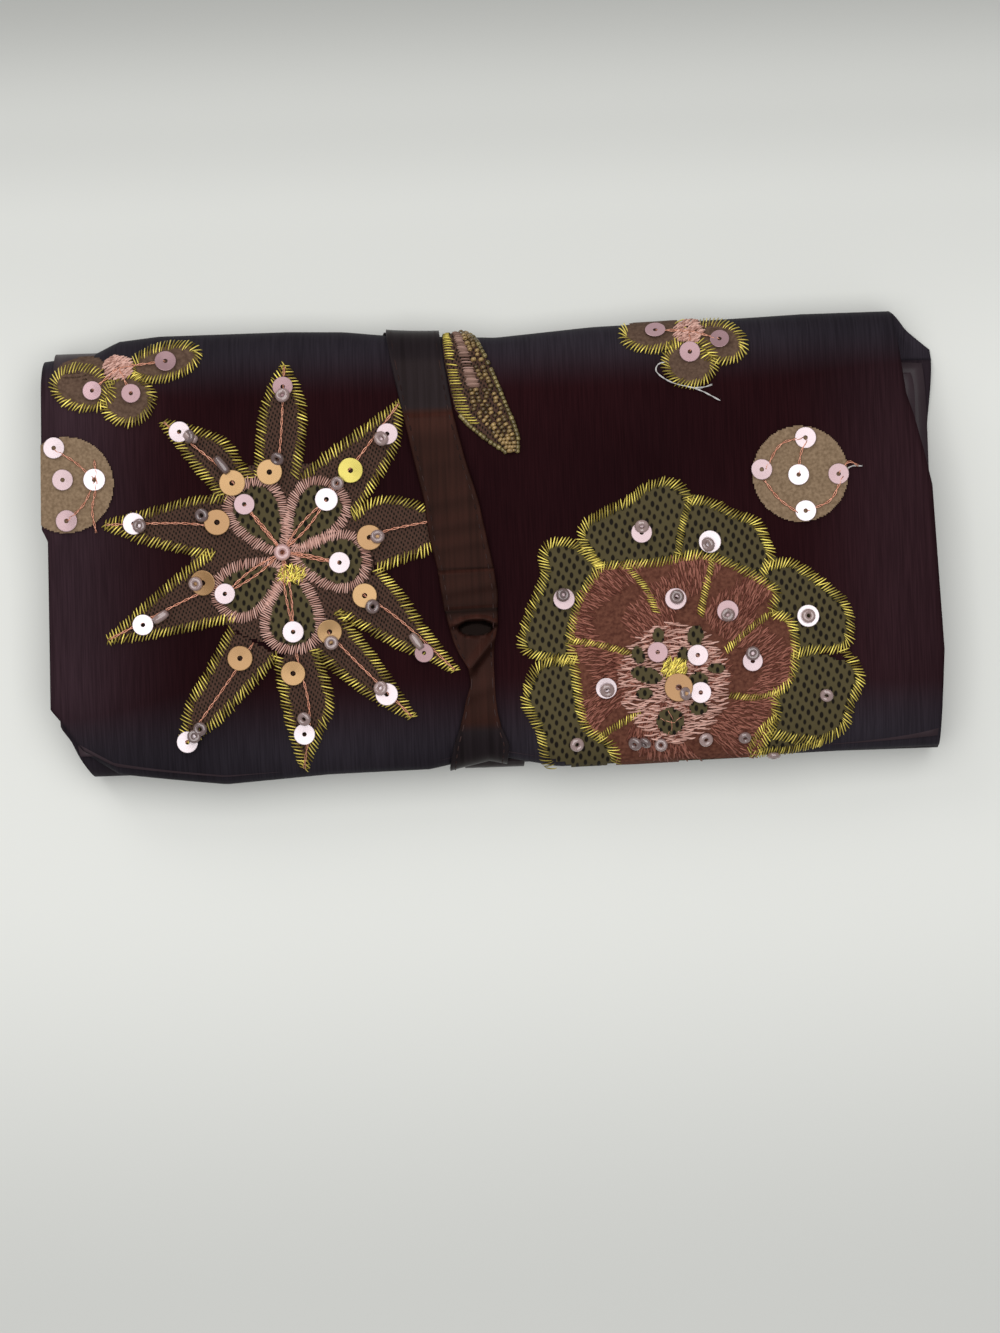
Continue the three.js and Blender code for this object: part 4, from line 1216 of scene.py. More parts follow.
# %% Zips and brass
COIL_PITCH = 1.3
CHAIN_HALF = 91.0
TAPE_DROP = 2.05
TAPE_HALF = 0.2
TAPE_GRID = (80, 12)
TAPE_FROM_MIDDLE = 0.7
TAPE_RIPPLE = 0.08
COIL_FROM_MIDDLE = 0.95
COIL_LEAN = 0.12
COIL_LOOP = (1.15, 0.75, 0.8)
BRASS_PARTS = ("open_stop", "closed_stop", "slider", "pull")
BRASS_NODES = [f"{panel_name}_zip_{part}" for panel_name in ("cover", "flap") for part in BRASS_PARTS]
BRASS_NODES += ["snap_socket", "snap_stud", "snap_cap"]


def dress_zip(body, lining_z):
    tape_z = lining_z - TAPE_DROP
    boxes = [node_box(f"{body}_zip_tape_{side}_side") for side in ("hem", "fold")]
    middle = (boxes[0][0][1] + boxes[0][1][1] + boxes[1][0][1] + boxes[1][1][1]) / 4
    for side, (low, high) in zip(("hem", "fold"), boxes):
        away = 1 if (low[1] + high[1]) / 2 > middle else -1
        near, far = middle + away * TAPE_FROM_MIDDLE, high[1] if away > 0 else low[1]
        across = np.linspace(*sorted((near, far)), TAPE_GRID[1])
        x, y = np.meshgrid(np.linspace(low[0], high[0], TAPE_GRID[0]), across, indexing="ij")
        ripple = tape_z + TAPE_RIPPLE * np.sin(x / 7)
        outer, inner = (np.stack([x, y, ripple + way * TAPE_HALF], 2) for way in (1, -1))
        tape = slab(f"{body}_zip_{side}_tape", outer, inner, tape_cloth)
        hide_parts(f"{body}_zip_tape_{side}_side")
        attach(tape, body)
        start = -CHAIN_HALF + (COIL_PITCH / 2 if away > 0 else 0)
        loops = np.arange(start, CHAIN_HALF, COIL_PITCH)
        place = (0.0, middle + away * COIL_FROM_MIDDLE, tape_z)
        rows = np.tile([*place, 0, 1, COIL_LEAN * away, 1, 0, 0, *COIL_LOOP], (len(loops), 1))
        rows[:, 0] = loops
        coil = scatter(f"{body}_zip_{side}_coil", "bead", coil_nylon, rows)
        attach(coil, body)


dress_zip("cover", COVER_LINING)
dress_zip("flap", FLAP_LINING)
for node in BRASS_NODES:
    bpy.data.objects[node].material_slots[0].material = brass
print(len(BRASS_NODES), "brass pieces")

# %% [markdown]
# ## Ring bar
# A stuffed satin roll, gathered at both ends, on two flat tabs. A plain cylinder has no gathers, so
# the roll is a stack of rings that narrow and fold towards the ends.

# %% Ring bar
BAR_RINGS = 121
BAR_SIDES = 40
BAR_END = 9
BAR_LEAST = 0.012
GATHER_DEPTH = 0.16
GATHER_FADE = 5
GATHER_FOLDS = 10
BAR_SLACK = 0.02
TAB_SEWN_IN = 5.0
TAB_CLOTH = 0.6
TAB_STEPS = 40
TAB_COLUMNS = 9
TAB_SEAM_IN = 1.2
TAB_SEAM_LIFT = 0.65


def dress_ring_bar():
    low, high = node_box("ring_bar")
    middle, radius, half = (low + high) / 2, (high[2] - low[2]) / 2, (high[0] - low[0]) / 2
    along = np.linspace(-1, 1, BAR_RINGS)
    turn = full_turn(BAR_SIDES)
    from_end = half * (1 - np.abs(along))
    swell = np.sqrt(np.clip(1 - (1 - np.clip(from_end / BAR_END, 0, 1)) ** 2, BAR_LEAST, 1))
    folds = 0.5 + 0.5 * np.cos(GATHER_FOLDS * turn)
    gather = 1 - GATHER_DEPTH * np.exp(-from_end / GATHER_FADE)[:, None] * folds
    slack = 1 - BAR_SLACK * (1 + np.sin(along * 23)[:, None] * np.sin(3 * turn + along[:, None] * 8))
    ring = radius * swell[:, None] * gather * slack
    x = middle[0] + half * along[:, None] + np.zeros(BAR_SIDES)
    points = np.stack([x, middle[1] + ring * np.cos(turn), middle[2] + ring * np.sin(turn)], 2)
    last = (BAR_RINGS - 1) * BAR_SIDES
    faces = ring_faces(BAR_RINGS, BAR_SIDES)
    faces += [list(range(BAR_SIDES - 1, -1, -1)), list(range(last, last + BAR_SIDES))]
    bar = make("ring_bar_roll", points.reshape(-1, 3), faces, lining_satin)
    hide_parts("ring_bar")
    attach(bar, "ring_bar")


def dress_tab(node, side):
    low, high = node_box(node)
    near, far = (high[0], low[0]) if side < 0 else (low[0], high[0])
    near -= side * TAB_SEWN_IN
    flat_x = near + (far - near) / 2
    x = np.linspace(near, far, TAB_STEPS)
    fall = smooth((x - near) / (flat_x - near))
    z = high[2] - TAB_CLOTH + (low[2] - high[2] + TAB_CLOTH) * fall
    order = np.argsort(x)
    y = np.linspace(low[1], high[1], TAB_COLUMNS)
    wide = np.zeros((TAB_STEPS, TAB_COLUMNS))
    base = np.stack([x[order, None] + wide, y + wide, z[order, None] + wide], 2)
    tab = slab(node + "_satin", base + [0, 0, TAB_CLOTH], base, lining_satin)
    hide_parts(node)
    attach(tab, "ring_bar")
    for label, edge in (("low", low[1] + TAB_SEAM_IN), ("high", high[1] - TAB_SEAM_IN)):
        path = np.stack([x, np.full(TAB_STEPS, edge), z + TAB_SEAM_LIFT], 1)[14:-4]
        seam(f"{node}_seam_{label}", path, (0, 0, 1), "ring_bar")


dress_ring_bar()
dress_tab("ring_bar_anchor_tab", -1)
dress_tab("ring_bar_snap_tab", 1)
print("ring bar done")

# %% [markdown]
# ## Ribbon tie
# The tie starts sewn to the back, comes over the top edge, slants down the front, passes under the roll
# and comes over the top again, where its leaf-shaped end lies. On the front it is gathered into pleats.

# %% Ribbon tie
TIE_CLOTH = 0.5
TIE_LIFT = 0.9
TIE_EDGE_LIFT = 0.15
# TIE_SHINE, TIE_CREASES, SHINE_REACH and CREASE_DARK set a painted highlight and painted shade on the tie.
TIE_SHINE = 424
TIE_PLEATS = [(569, 0.7, 5.0), (606, 0.8, 3.0), (412, 0.35, 6.0)]
TIE_PUCKERS = [(430, 0.3, 3.0), (462, 0.25, 2.2), (499, 0.35, 2.0), (524, 0.4, 2.0), (545, 0.3, 1.6)]
TIE_PUCKERS += [(588, 0.4, 1.8), (690, 0.35, 2.2)]
TIE_CREASES = [(569, 0.4), (609, 1.1)]
TIE_HOLLOW = ((476, 629), (17, 8))
TIE_RIDGE = ((494, 638), (470, 668))
PLEAT_SLANT = 0.03
PLEAT_EDGE = 0.9
HOLLOW_RIM = 1.1
HOLLOW_DEPTH = 0.6
RIDGE_HEIGHT = 1.2
RIDGE_WIDTH = 1.3
SHINE_REACH = 3.5
CREASE_DARK = 0.7
SLOPE_STEP = 0.3


def photo_y(py):
    return spot([(450, py)])[0, 1]


def near_line(x, y, ends):
    """Distance in millimetres of plan places from a line between two photo pixels."""
    (x0, y0), (x1, y1) = spot(ends)
    run = np.array([x1 - x0, y1 - y0])
    share = np.clip(((x - x0) * run[0] + (y - y0) * run[1]) / (run @ run), 0, 1)
    return np.hypot(x - x0 - share * run[0], y - y0 - share * run[1])


def from_pleat(x, y, py):
    """Distance below a pleat that runs nearly level across the ribbon."""
    return photo_y(py) - y + PLEAT_SLANT * x


def from_hollow(x, y):
    """0 in the middle of the hollow and 1 on its edge, and the distance above its middle."""
    (hollow_x, hollow_y), reach = spot(TIE_HOLLOW[:1])[0], np.array(TIE_HOLLOW[1]) * PHOTO_MM
    return ((x - hollow_x) / reach[0]) ** 2 + ((y - hollow_y) / reach[1]) ** 2, y - hollow_y


def tie_height(c, y):
    """How far the ribbon stands off the cover across its width, -1 to 1, at one Y."""
    x = tie_centre(y) + c * tie_width(y) / 2
    height = TIE_LIFT + TIE_EDGE_LIFT * c**2
    for py, size, fall in TIE_PLEATS:
        below = from_pleat(x, y, py)
        height = height + size * np.exp(-np.abs(below) / fall) * smooth(below / PLEAT_EDGE)
    for py, size, reach in TIE_PUCKERS:
        height = height + size * np.exp(-(((y - photo_y(py) - c) / reach) ** 2))
    off, above = from_hollow(x, y)
    height = height + HOLLOW_RIM * np.exp(-2 * (off - 1.7) ** 2) * smooth(above / 1.5)
    height = height - HOLLOW_DEPTH * smooth((1.2 - off) * 3)
    return height + RIDGE_HEIGHT * np.exp(-((near_line(x, y, TIE_RIDGE) / RIDGE_WIDTH) ** 2))


def tie_top(c, y):
    return tie_height(c, y) + TIE_CLOTH


def tie_painted_light(c, y):
    """Painted light on the satin: a painted highlight where it slopes to the light and along one band, and
    painted shade in its pleats and in the hollow.
    """
    x = tie_centre(y) + c * tie_width(y) / 2
    slope = (tie_height(c, y + SLOPE_STEP) - tie_height(c, y - SLOPE_STEP)) / (2 * SLOPE_STEP)
    painted_light = np.clip(-0.8 * slope, -0.5, 0.7) - 0.15
    gleam = np.exp(-(((y - photo_y(TIE_SHINE)) / SHINE_REACH) ** 2))
    painted_light = painted_light + 0.55 * gleam * (1 - 0.5 * c**2)
    for py, width in TIE_CREASES:
        painted_light = painted_light - CREASE_DARK * np.exp(-((from_pleat(x, y, py) / width) ** 2))
    return np.clip(painted_light - smooth((1.3 - from_hollow(x, y)[0]) * 2.5), -0.95, 0.8)


print("hollow at", spot(TIE_HOLLOW[:1]).round(1))

# %% [markdown]
# ## Front of the tie
# A cloth simulation would give other folds than the photo's, so the ribbon is a grid on the cover, with
# edges read off the photo. A row of stitches runs along each edge.

# %% Front of the tie
TIE_END_X = -6.8
TIE_COLUMNS = 31
TIE_SHOULDER = 412
TIE_HEM = 722
SEAM_COLUMNS = {"left": 2.5, "right": 27.5}
SEAM_STITCH_ROWS = 3.2
SEAM_STEP_ROWS = 4.6
SEAM_LIFT = 0.1


def row_y(j):
    """Y of one row of the cover's grid, where the tie's end crosses it."""
    return np.interp(TIE_END_X, SKIN[:, j, 0], SKIN[:, j, 1])


def on_rows(rows, centre, width, height, columns):
    """Places along rows of the cover's grid. Centre, width and height are functions."""
    c = np.linspace(-1, 1, columns)
    lines = []
    for j in rows:
        y = row_y(j)
        lines.append(across_row(j, centre(y) + c * width(y) / 2, height(c, y)))
    return np.array(lines).transpose(1, 0, 2)[:, ::-1]


def sample(grid, u, v):
    """Places and normals at fractional rows and columns of a grid."""
    a, b = np.clip(u.astype(int), 0, grid.shape[0] - 2), np.clip(v.astype(int), 0, grid.shape[1] - 2)
    s, t = (u - a)[:, None], (v - b)[:, None]
    return amid(grid, a, b, s, t), amid(-normals(grid), a, b, s, t)


def turn_away(obj):
    """Paints shade on a ribbon past the shoulder and towards the hem, in the darker colour of cloth that
    turns away.
    """
    y = np.array([v.co.y for v in obj.data.vertices]) / MM
    away = np.maximum(smooth((y - photo_y(TIE_SHOULDER)) / 1.6), smooth((photo_y(TIE_HEM) - y) / 3))
    tag(obj, "turned", away)


def dress_tie_front():
    rows = range(SKIN.shape[1])
    faces = (tie_top, tie_height)
    top, bottom = (on_rows(rows, tie_centre, tie_width, face, TIE_COLUMNS) for face in faces)
    front = slab("tie_front", top, bottom, satin)
    # Painted shade past the shoulder and towards the hem, and a painted highlight and shade along the
    # folds.
    turn_away(front)
    c = np.linspace(-1, 1, TIE_COLUMNS)
    shine = np.array([tie_painted_light(c, row_y(j)) for j in rows]).T[:, ::-1]
    tag(front, "painted_light", np.concatenate([shine, shine]))
    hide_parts("tie_ribbon")
    bend_over_fold(front)
    v = np.arange(1, top.shape[1] - 1.001 - 4, SEAM_STEP_ROWS)
    for label, column in SEAM_COLUMNS.items():
        start, up = sample(top, np.full(len(v), column), v)
        end, _ = sample(top, np.full(len(v), column), v + SEAM_STITCH_ROWS)
        stitches = between(start + up * SEAM_LIFT, end + up * SEAM_LIFT, up, 0.34)
        edge = scatter(f"tie_seam_{label}", "stitch", seam_thread, stitches)
        bend_over_fold(edge)


dress_tie_front()
print("front of the tie done")

# %% [markdown]
# ## Tie round the fold and the back
# Both ends of the ribbon come over the fold from behind. Each run is a flat strip that stops where a joint
# bends, and the two runs on the back move with the back.

# %% Tie round the fold and the back
TIE_OFF_FOLD = 0.3
TIE_OFF_BACK = 0.65
TIE_HALF = 6.5
STRAP_COLUMNS = 11
STRAP_STEPS = 30
TIE_ENDS = {
    "tie_start_fold": ((TIE_START_X, -19.4), (13, 13)),
    "tie_end_fold": ((TIE_END_X, -8.7), (12, 5)),
}
TIE_UNDER = 0.1
TIE_RUNS = {
    "tie_start": ((TIE_SEWN_Y, FOLD_Y), (TIE_SEWN_X, TIE_START_X)),
    "tie_back_run": ((FLAP_Y, FOLD_Y), (TIE_LOW_X, TIE_END_X)),
}


def dress_tie_folds():
    for name, (middles, widths) in TIE_ENDS.items():
        middle, half = np.linspace(*middles, ARC_STEPS), np.linspace(*widths, ARC_STEPS) / 2
        section, out = arc_section(FOLD_Y, FOLD_RADIUS + TIE_OFF_FOLD + TIE_CLOTH, 1, 0, 90)
        section[:, 1] -= TIE_OFF_FOLD + TIE_CLOTH
        section[:, 1] += TIE_OFF_BACK * smooth(1 - section[:, 1] / 2)
        strap = strip(name, section, out, TIE_CLOTH, satin, middle - half, middle + half, STRAP_COLUMNS)
        pull_fold(strap)
        # Painted shade over the fold.
        turn_away(strap)
        bend_under_fold(strap)


def dress_tie_back():
    down = np.tile([0.0, -1.0], (STRAP_STEPS, 1))
    for name, (ys, xs) in TIE_RUNS.items():
        y, x = np.linspace(*ys, STRAP_STEPS), np.linspace(*xs, STRAP_STEPS)
        section = np.stack([y, np.full(STRAP_STEPS, TIE_UNDER)], 1)
        left, right = x - TIE_HALF, x + TIE_HALF
        strap = strip(name, section, down, TIE_CLOTH, satin, left, right, STRAP_COLUMNS)
        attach(strap, "back")


dress_tie_folds()
dress_tie_back()
print("tie round the back done")

# %% [markdown]
# ## Tie under the hem
# Under the hem the ribbon turns to the back. It can't unwind here, so it shrinks towards the cover instead.

# %% Tie under the hem
TIE_TURN = [(-52.6, 12.6), (-54.1, 10.2), (-54.5, 7.0), (-53.9, 3.4), (-51.4, 0.8)]
TIE_TURN += [(FLAP_Y - 0.1, TIE_UNDER)]
TIE_TURN_HALVES = (7.6, TIE_HALF)
TIE_TURN_STEP = 0.8


def dress_tie_turn():
    section = curve(TIE_TURN, TIE_TURN_STEP)
    out = unit(np.gradient(section, axis=0) @ np.array([[0, -1], [1, 0]]))
    wide = np.linspace(*TIE_TURN_HALVES, len(section))
    left, right = TIE_LOW_X - wide, TIE_LOW_X + wide
    strap = strip("tie_turn", section, out, TIE_CLOTH, satin, left, right, STRAP_COLUMNS)
    # Painted shade under the hem.
    turn_away(strap)
    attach(strap, "cover")
    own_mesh(strap)


dress_tie_turn()
print("tie done")

# %% [markdown]
# ## Leaf-shaped end
# The tie ends in a small stuffed leaf. It could be modelled by hand, but two edges read off the photo and
# a rounded section give its shape from a few numbers.

# %% Leaf-shaped end
LEAF_LEFT = [(441, 326), (442, 344), (444, 360), (449, 385)]
LEAF_LEFT += [(455, 410), (470, 426), (488, 440), (506, 451)]
LEAF_RIGHT = [(463, 326), (475, 338), (485, 355), (495, 378)]
LEAF_RIGHT += [(505, 402), (514, 424), (518, 438), (517, 450)]
LEAF_FLOOR = 0.25
LEAF_PLUMP = 1.9
LEAF_LENGTH = 26
LEAF_FLATTENED = (40, 8)
LEAF_COLUMNS = 13
TIP_Y = spot(LEAF_LEFT[-1:])[0, 1]


def leaf_centre(y):
    return (edge_x(LEAF_LEFT, y) + edge_x(LEAF_RIGHT, y)) / 2


def leaf_width(y):
    return edge_x(LEAF_RIGHT, y) - edge_x(LEAF_LEFT, y)


def leaf_under(c, y):
    return np.full(c.shape, LEAF_FLOOR)


def leaf_top(c, y):
    along = np.clip((y - TIP_Y) / LEAF_LENGTH, 0, 1)
    flattened = 1 - 0.65 * rise(y, LEAF_FLATTENED)
    return LEAF_FLOOR + LEAF_PLUMP * flattened * np.sqrt(np.clip(1 - c**2, 0, 1) * (along + 0.05))


print("leaf tip at Y", TIP_Y.round(1))

# %% [markdown]
# ## Trim of the leaf
# The beads are strung in rows, so each has its hole along its lane. Gold stitches and a pink tongue lie
# on the same grid, so that all of it bends and lifts with the leaf.

# %% Trim of the leaf
LEAF_LANES = (4.6, 6.4, 8.2, 10.0)
LEAF_TONGUE = 0.72
TONGUE_LANE = 8
TONGUE_SIDES = ((4.0, 4.6), (7.2, 8.2))
RIM_LANES = (0.2, 11.8)
GOLD_LANES = (2.8, 3.8)
GOLD_FROM = 0.34
LEFT_RIM_TO = 0.42
BEAD_STEP = 1.15
RIGHT_RIM_STEP = 1.25
LEFT_RIM_STEP = 0.8
GOLD_STEP = 0.85
GOLD_SLANT = 0.3
PINK_STEP = 0.42
LANE_START = 0.4
RIM_START = 0.2
BEAD_STRAY = (0.25, 0.15)
GOLD_LIFT = 0.3
TRIM_LIFT = 0.35
LANE_BEAD = (0.66, 0.66, 0.95)
RIM_BEAD = (0.62, 0.62, 1.3)


def string_beads(name, grid, u, v, finish, size, seed):
    """Beads strung along lanes of the leaf, with their holes in line."""
    last = grid.shape[1] - 1.001
    place, up = sample(grid, u, v)
    ahead, _ = sample(grid, u, np.clip(v + 0.5, 0, last))
    behind, _ = sample(grid, u, np.clip(v - 0.5, 0, last))
    sizes = np.array(size) * rng.uniform(0.8, 1.15, (len(u), 1))
    rows = np.concatenate([place + up * 0.25, up, ahead - behind, sizes], 1)
    return scatter(name, "bead", finish, rows, seed)


def trim_leaf(name, grid):
    length = run_length(grid[LEAF_COLUMNS // 2])
    last = grid.shape[1] - 1.001
    row = last / length
    tip = name == "leaf"
    tongue = LEAF_TONGUE * last if tip else 0.0
    steps = np.arange(LANE_START, length, BEAD_STEP) * row
    u, v = (a.ravel() for a in np.meshgrid(LEAF_LANES, steps, indexing="ij"))
    u = u + rng.normal(0, BEAD_STRAY[0], len(u))
    v = np.clip(v + rng.normal(0, BEAD_STRAY[1], len(v)), 0, last)
    bare = (v < tongue) | (u > TONGUE_LANE)
    made = [string_beads(name + "_beads", grid, u[bare], v[bare], topaz, LANE_BEAD, 3)]
    right = np.arange(RIM_START, length, RIGHT_RIM_STEP) * row
    left = np.arange(RIM_START, LEFT_RIM_TO * length if tip else 0, LEFT_RIM_STEP) * row
    u = np.r_[np.full(len(right), RIM_LANES[1]), np.full(len(left), RIM_LANES[0])]
    made.append(string_beads(name + "_rim", grid, u, np.r_[right, left], amber, RIM_BEAD, 6))
    v = np.arange(GOLD_FROM * last if tip else 0, last, GOLD_STEP * row)
    near, up = sample(grid, np.full(len(v), RIM_LANES[0]), v)
    far, _ = sample(grid, rng.uniform(*GOLD_LANES, len(v)), np.clip(v - GOLD_SLANT * row, 0, last))
    edging = between(near + up * GOLD_LIFT, far + up * TRIM_LIFT, up, thickness=0.36)
    made.append(scatter(name + "_gold", "stitch", gold, edging, 5))
    v = np.arange(tongue, last, PINK_STEP * row)
    a, up = sample(grid, rng.uniform(*TONGUE_SIDES[0], len(v)), v)
    b, _ = sample(grid, rng.uniform(*TONGUE_SIDES[1], len(v)), v)
    satin_stitch = between(a + up * TRIM_LIFT, b + up * TRIM_LIFT, up, thickness=0.42)
    made.append(scatter(name + "_pink", "stitch", dusty, satin_stitch, 8))
    return made


print(len(LEAF_LANES), "lanes of beads")

# %% [markdown]
# ## Sewing the leaf on
# The leaf lifts by hand from a hinge near the fold. So it is two pads: a base that stays on the cover, and
# the leaf itself, which moves.

# %% Sewing the leaf on
LEAF_STATION = 62
LEAF_HINGE_ROW = 10


def dress_leaf():
    rows = [j for j in range(SKIN.shape[1]) if SKIN[LEAF_STATION, j, 1] > TIP_Y - 0.4]
    parts = {"leaf_base": rows[: LEAF_HINGE_ROW + 1], "leaf": rows[LEAF_HINGE_ROW:]}
    for name, own in parts.items():
        faces = (leaf_top, leaf_under)
        top, under = (on_rows(own, leaf_centre, leaf_width, face, LEAF_COLUMNS) for face in faces)
        pad = slab(name, top, under, dark_net)
        for obj in [pad, *trim_leaf(name, top)]:
            if name == "leaf":
                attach(obj, "tie_end")
            else:
                bend_over_fold(obj)
    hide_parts("tie_leaf")


dress_leaf()
print("leaf done")

# %% [markdown]
# ## Embroidery tools
# A patch is net or felt cut to shape, held by a band of slanting stitches along its outline.
# These helpers turn outlines in photo pixels into cloth, stitches, threads, sequins and beads on the cover.


def inside(points, outline):
    """Which plan points lie inside a closed outline."""
    found = np.zeros(len(points), bool)
    for (x0, y0), (x1, y1) in zip(outline, np.roll(outline, -1, 0)):
        crosses = (y0 > points[:, 1]) != (y1 > points[:, 1])
        found ^= crosses & (points[:, 0] < (x1 - x0) * (points[:, 1] - y0) / (y1 - y0 + 1e-12) + x0)
    return found


def ellipse(centre, reach, turn=0.0, count=40):
    """A closed outline in photo pixels: centre, half length and half width, turned in degrees."""
    t = full_turn(count)
    c, s = math.cos(math.radians(turn)), math.sin(math.radians(turn))
    x, y = reach[0] * np.cos(t), reach[1] * np.sin(t)
    return np.stack([centre[0] + x * c - y * s, centre[1] + x * s + y * c], 1)


def carry(obj):
    """Moves a piece with the cover, or only bakes its transform where it reaches round the fold."""
    if max(v.co.y for v in obj.data.vertices) > (FOLD_Y + 1) * MM:
        bend_over_fold(obj)
    else:
        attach(obj, "cover")


def cut_cloth(name, outlines, height, material, cell=0.75):
    """Cloth cut to closed outlines and laid on the cover, as one piece."""
    points, faces, start = [], [], 0
    for outline in outlines:
        plan = spot(outline)
        low, high = plan.min(0) - cell, plan.max(0) + cell
        x, y = np.meshgrid(*(np.arange(a, b, cell) for a, b in zip(low, high)), indexing="ij")
        flat = np.stack([x.ravel(), y.ravel()], 1)
        place, _, on = lay(flat, height)
        quads = np.array(grid_faces(*x.shape))
        middle = flat[quads].mean(1)
        keep = quads[inside(middle, plan) & on[quads].all(1)]
        used, again = np.unique(keep, return_inverse=True)
        points.append(place[used])
        faces += (again.reshape(-1, 4) + start).tolist()
        start += len(used)
    obj = make(name, np.concatenate(points), faces, material)
    carry(obj)
    return obj


print("cloth can be cut")

# %% [markdown]
# ## Stitches on the cover
# Satin stitch is a row of slanting threads side by side. A texture would look flat near the edge, so every
# stitch is a small thread of its own, a little uneven in length and lean.

# %% Stitches on the cover
STITCH_RAGGED = 0.12
STITCH_LEAN = 0.09


def band(path, width, spacing, slant=0.5):
    """Plan starts and ends of slanting stitches, side by side along a line in photo pixels."""
    line = curve(spot(path), spacing)
    along = unit(np.gradient(line, axis=0))
    side = np.stack([-along[:, 1], along[:, 0]], 1)
    count = len(line)
    reach = (width / 2 * (1 + STITCH_RAGGED * rng.normal(size=count)))[:, None]
    lean = (width / 2 * (slant + STITCH_LEAN * rng.normal(size=count)))[:, None]
    return line - side * reach - along * lean, line + side * reach + along * lean


def closed(outline):
    return np.concatenate([outline, outline[:1]])


def sew(name, pairs, finish, thickness, height, seed):
    """Stitches on the cover from pairs of plan starts and ends."""
    starts = np.concatenate([a for a, _ in pairs])
    ends = np.concatenate([b for _, b in pairs])
    lift = height + rng.uniform(-0.1, 0.12, len(starts))
    a, up, on_a = lay(starts, lift)
    b, _, on_b = lay(ends, lift)
    keep = on_a & on_b
    obj = scatter(name, "stitch", finish, between(a, b, up, thickness)[keep], seed)
    carry(obj)


def strokes(outline, direction, length, spacing, spread):
    """Loose satin strokes that fill an outline. Direction is a function of plan places."""
    plan = spot(outline)
    low, high = plan.min(0), plan.max(0)
    x, y = np.meshgrid(*(np.arange(a, b, spacing) for a, b in zip(low, high)), indexing="ij")
    flat = np.stack([x.ravel(), y.ravel()], 1)
    flat += rng.uniform(-0.5, 0.5, flat.shape) * spacing
    flat = flat[inside(flat, plan)]
    run = unit(direction(flat) + rng.normal(0, spread, flat.shape))
    reach = length / 2 * rng.uniform(0.6, 1.15, (len(flat), 1))
    return flat - run * reach, flat + run * reach


def steady(x, y):
    """A direction for strokes that is the same everywhere."""
    return lambda p: np.tile([x, y], (len(p), 1))


print("stitches can be sewn")

# %% [markdown]
# ## Sequins, beads and threads
# Sequins lie nearly flat, beads stand on them, and copper threads are couched in pairs that cross. Each set
# is one scatter or one set of tubes, so that it stays one piece on its body.

# %% Sequins, beads and threads
BEAD_TILT = 0.3
BUGLE_HEIGHT = 2.0
BUGLE_RADIUS = 1.15
BUGLE_STRETCH = 1.2
THREAD_STEP = 0.7
THREAD_TURN = 0.9
THREAD_RISE = 0.12


def sew_on(name, template, places, across, finish, height, seed, tilt):
    """Copies of a template on the cover, centred on photo pixels and tilted a little at random."""
    place, up, on = lay(spot(places), height)
    facing = up + rng.normal(0, tilt, up.shape)
    size = np.full(up.shape, across * PHOTO_MM / 2) * rng.uniform(0.95, 1.06, (len(up), 1))
    rows = np.concatenate([place, loose_turn(facing), facing, size], 1)[on]
    obj = scatter(name, template, finish, rows, seed)
    carry(obj)


def sew_sequins(name, places, across, finish, height=1.5, seed=11, tilt=0.07):
    sew_on(name, "sequin", places, across, finish, height, seed, tilt)


def sew_beads(name, places, across, height=2.1, finish=glass, seed=12):
    sew_on(name, "bead", places, across, finish, height, seed, BEAD_TILT)


def sew_bugles(name, ends):
    """Long beads: one bead drawn out between each two photo pixels."""
    a, up, _ = lay(spot([e[0] for e in ends]), BUGLE_HEIGHT)
    b, _, _ = lay(spot([e[1] for e in ends]), BUGLE_HEIGHT)
    run = b - a
    length = np.linalg.norm(run, axis=1)[:, None]
    size = np.concatenate([np.full((len(a), 2), BUGLE_RADIUS), length * BUGLE_STRETCH], 1)
    obj = scatter(name, "bead", glass, np.concatenate([(a + b) / 2, up, unit(run), size], 1), seed=13)
    carry(obj)


def lay_threads(name, lines, finish=copper, radius=0.13, twist=0.22, height=1.25):
    """Two strands that cross each other along each line in photo pixels."""
    paths = []
    for line in lines:
        plan = curve(spot(line), THREAD_STEP)
        along = np.gradient(plan, axis=0)
        side = unit(np.stack([-along[:, 1], along[:, 0]], 1))
        turn = np.arange(len(plan)) * THREAD_TURN
        swing = np.sin(turn + len(paths))[:, None] * twist
        for way in (-1, 1):
            lift = height + THREAD_RISE * way * np.cos(turn)
            place, _, on = lay(plan + side * swing * way, lift)
            if on.sum() > 2:
                paths.append(place[on])
    obj = tubes(name, paths, radius, finish)
    carry(obj)


print("embroidery tools ready")

# %% [markdown]
# ## Star flower
# Ten rays of dark net with gold stitched edges stand round five olive petals with pink edges.
# Copper threads run from the middle to the petals and along each ray from sequin to bead.
# The rays are cut by hand and all differ, so each has its own outline.

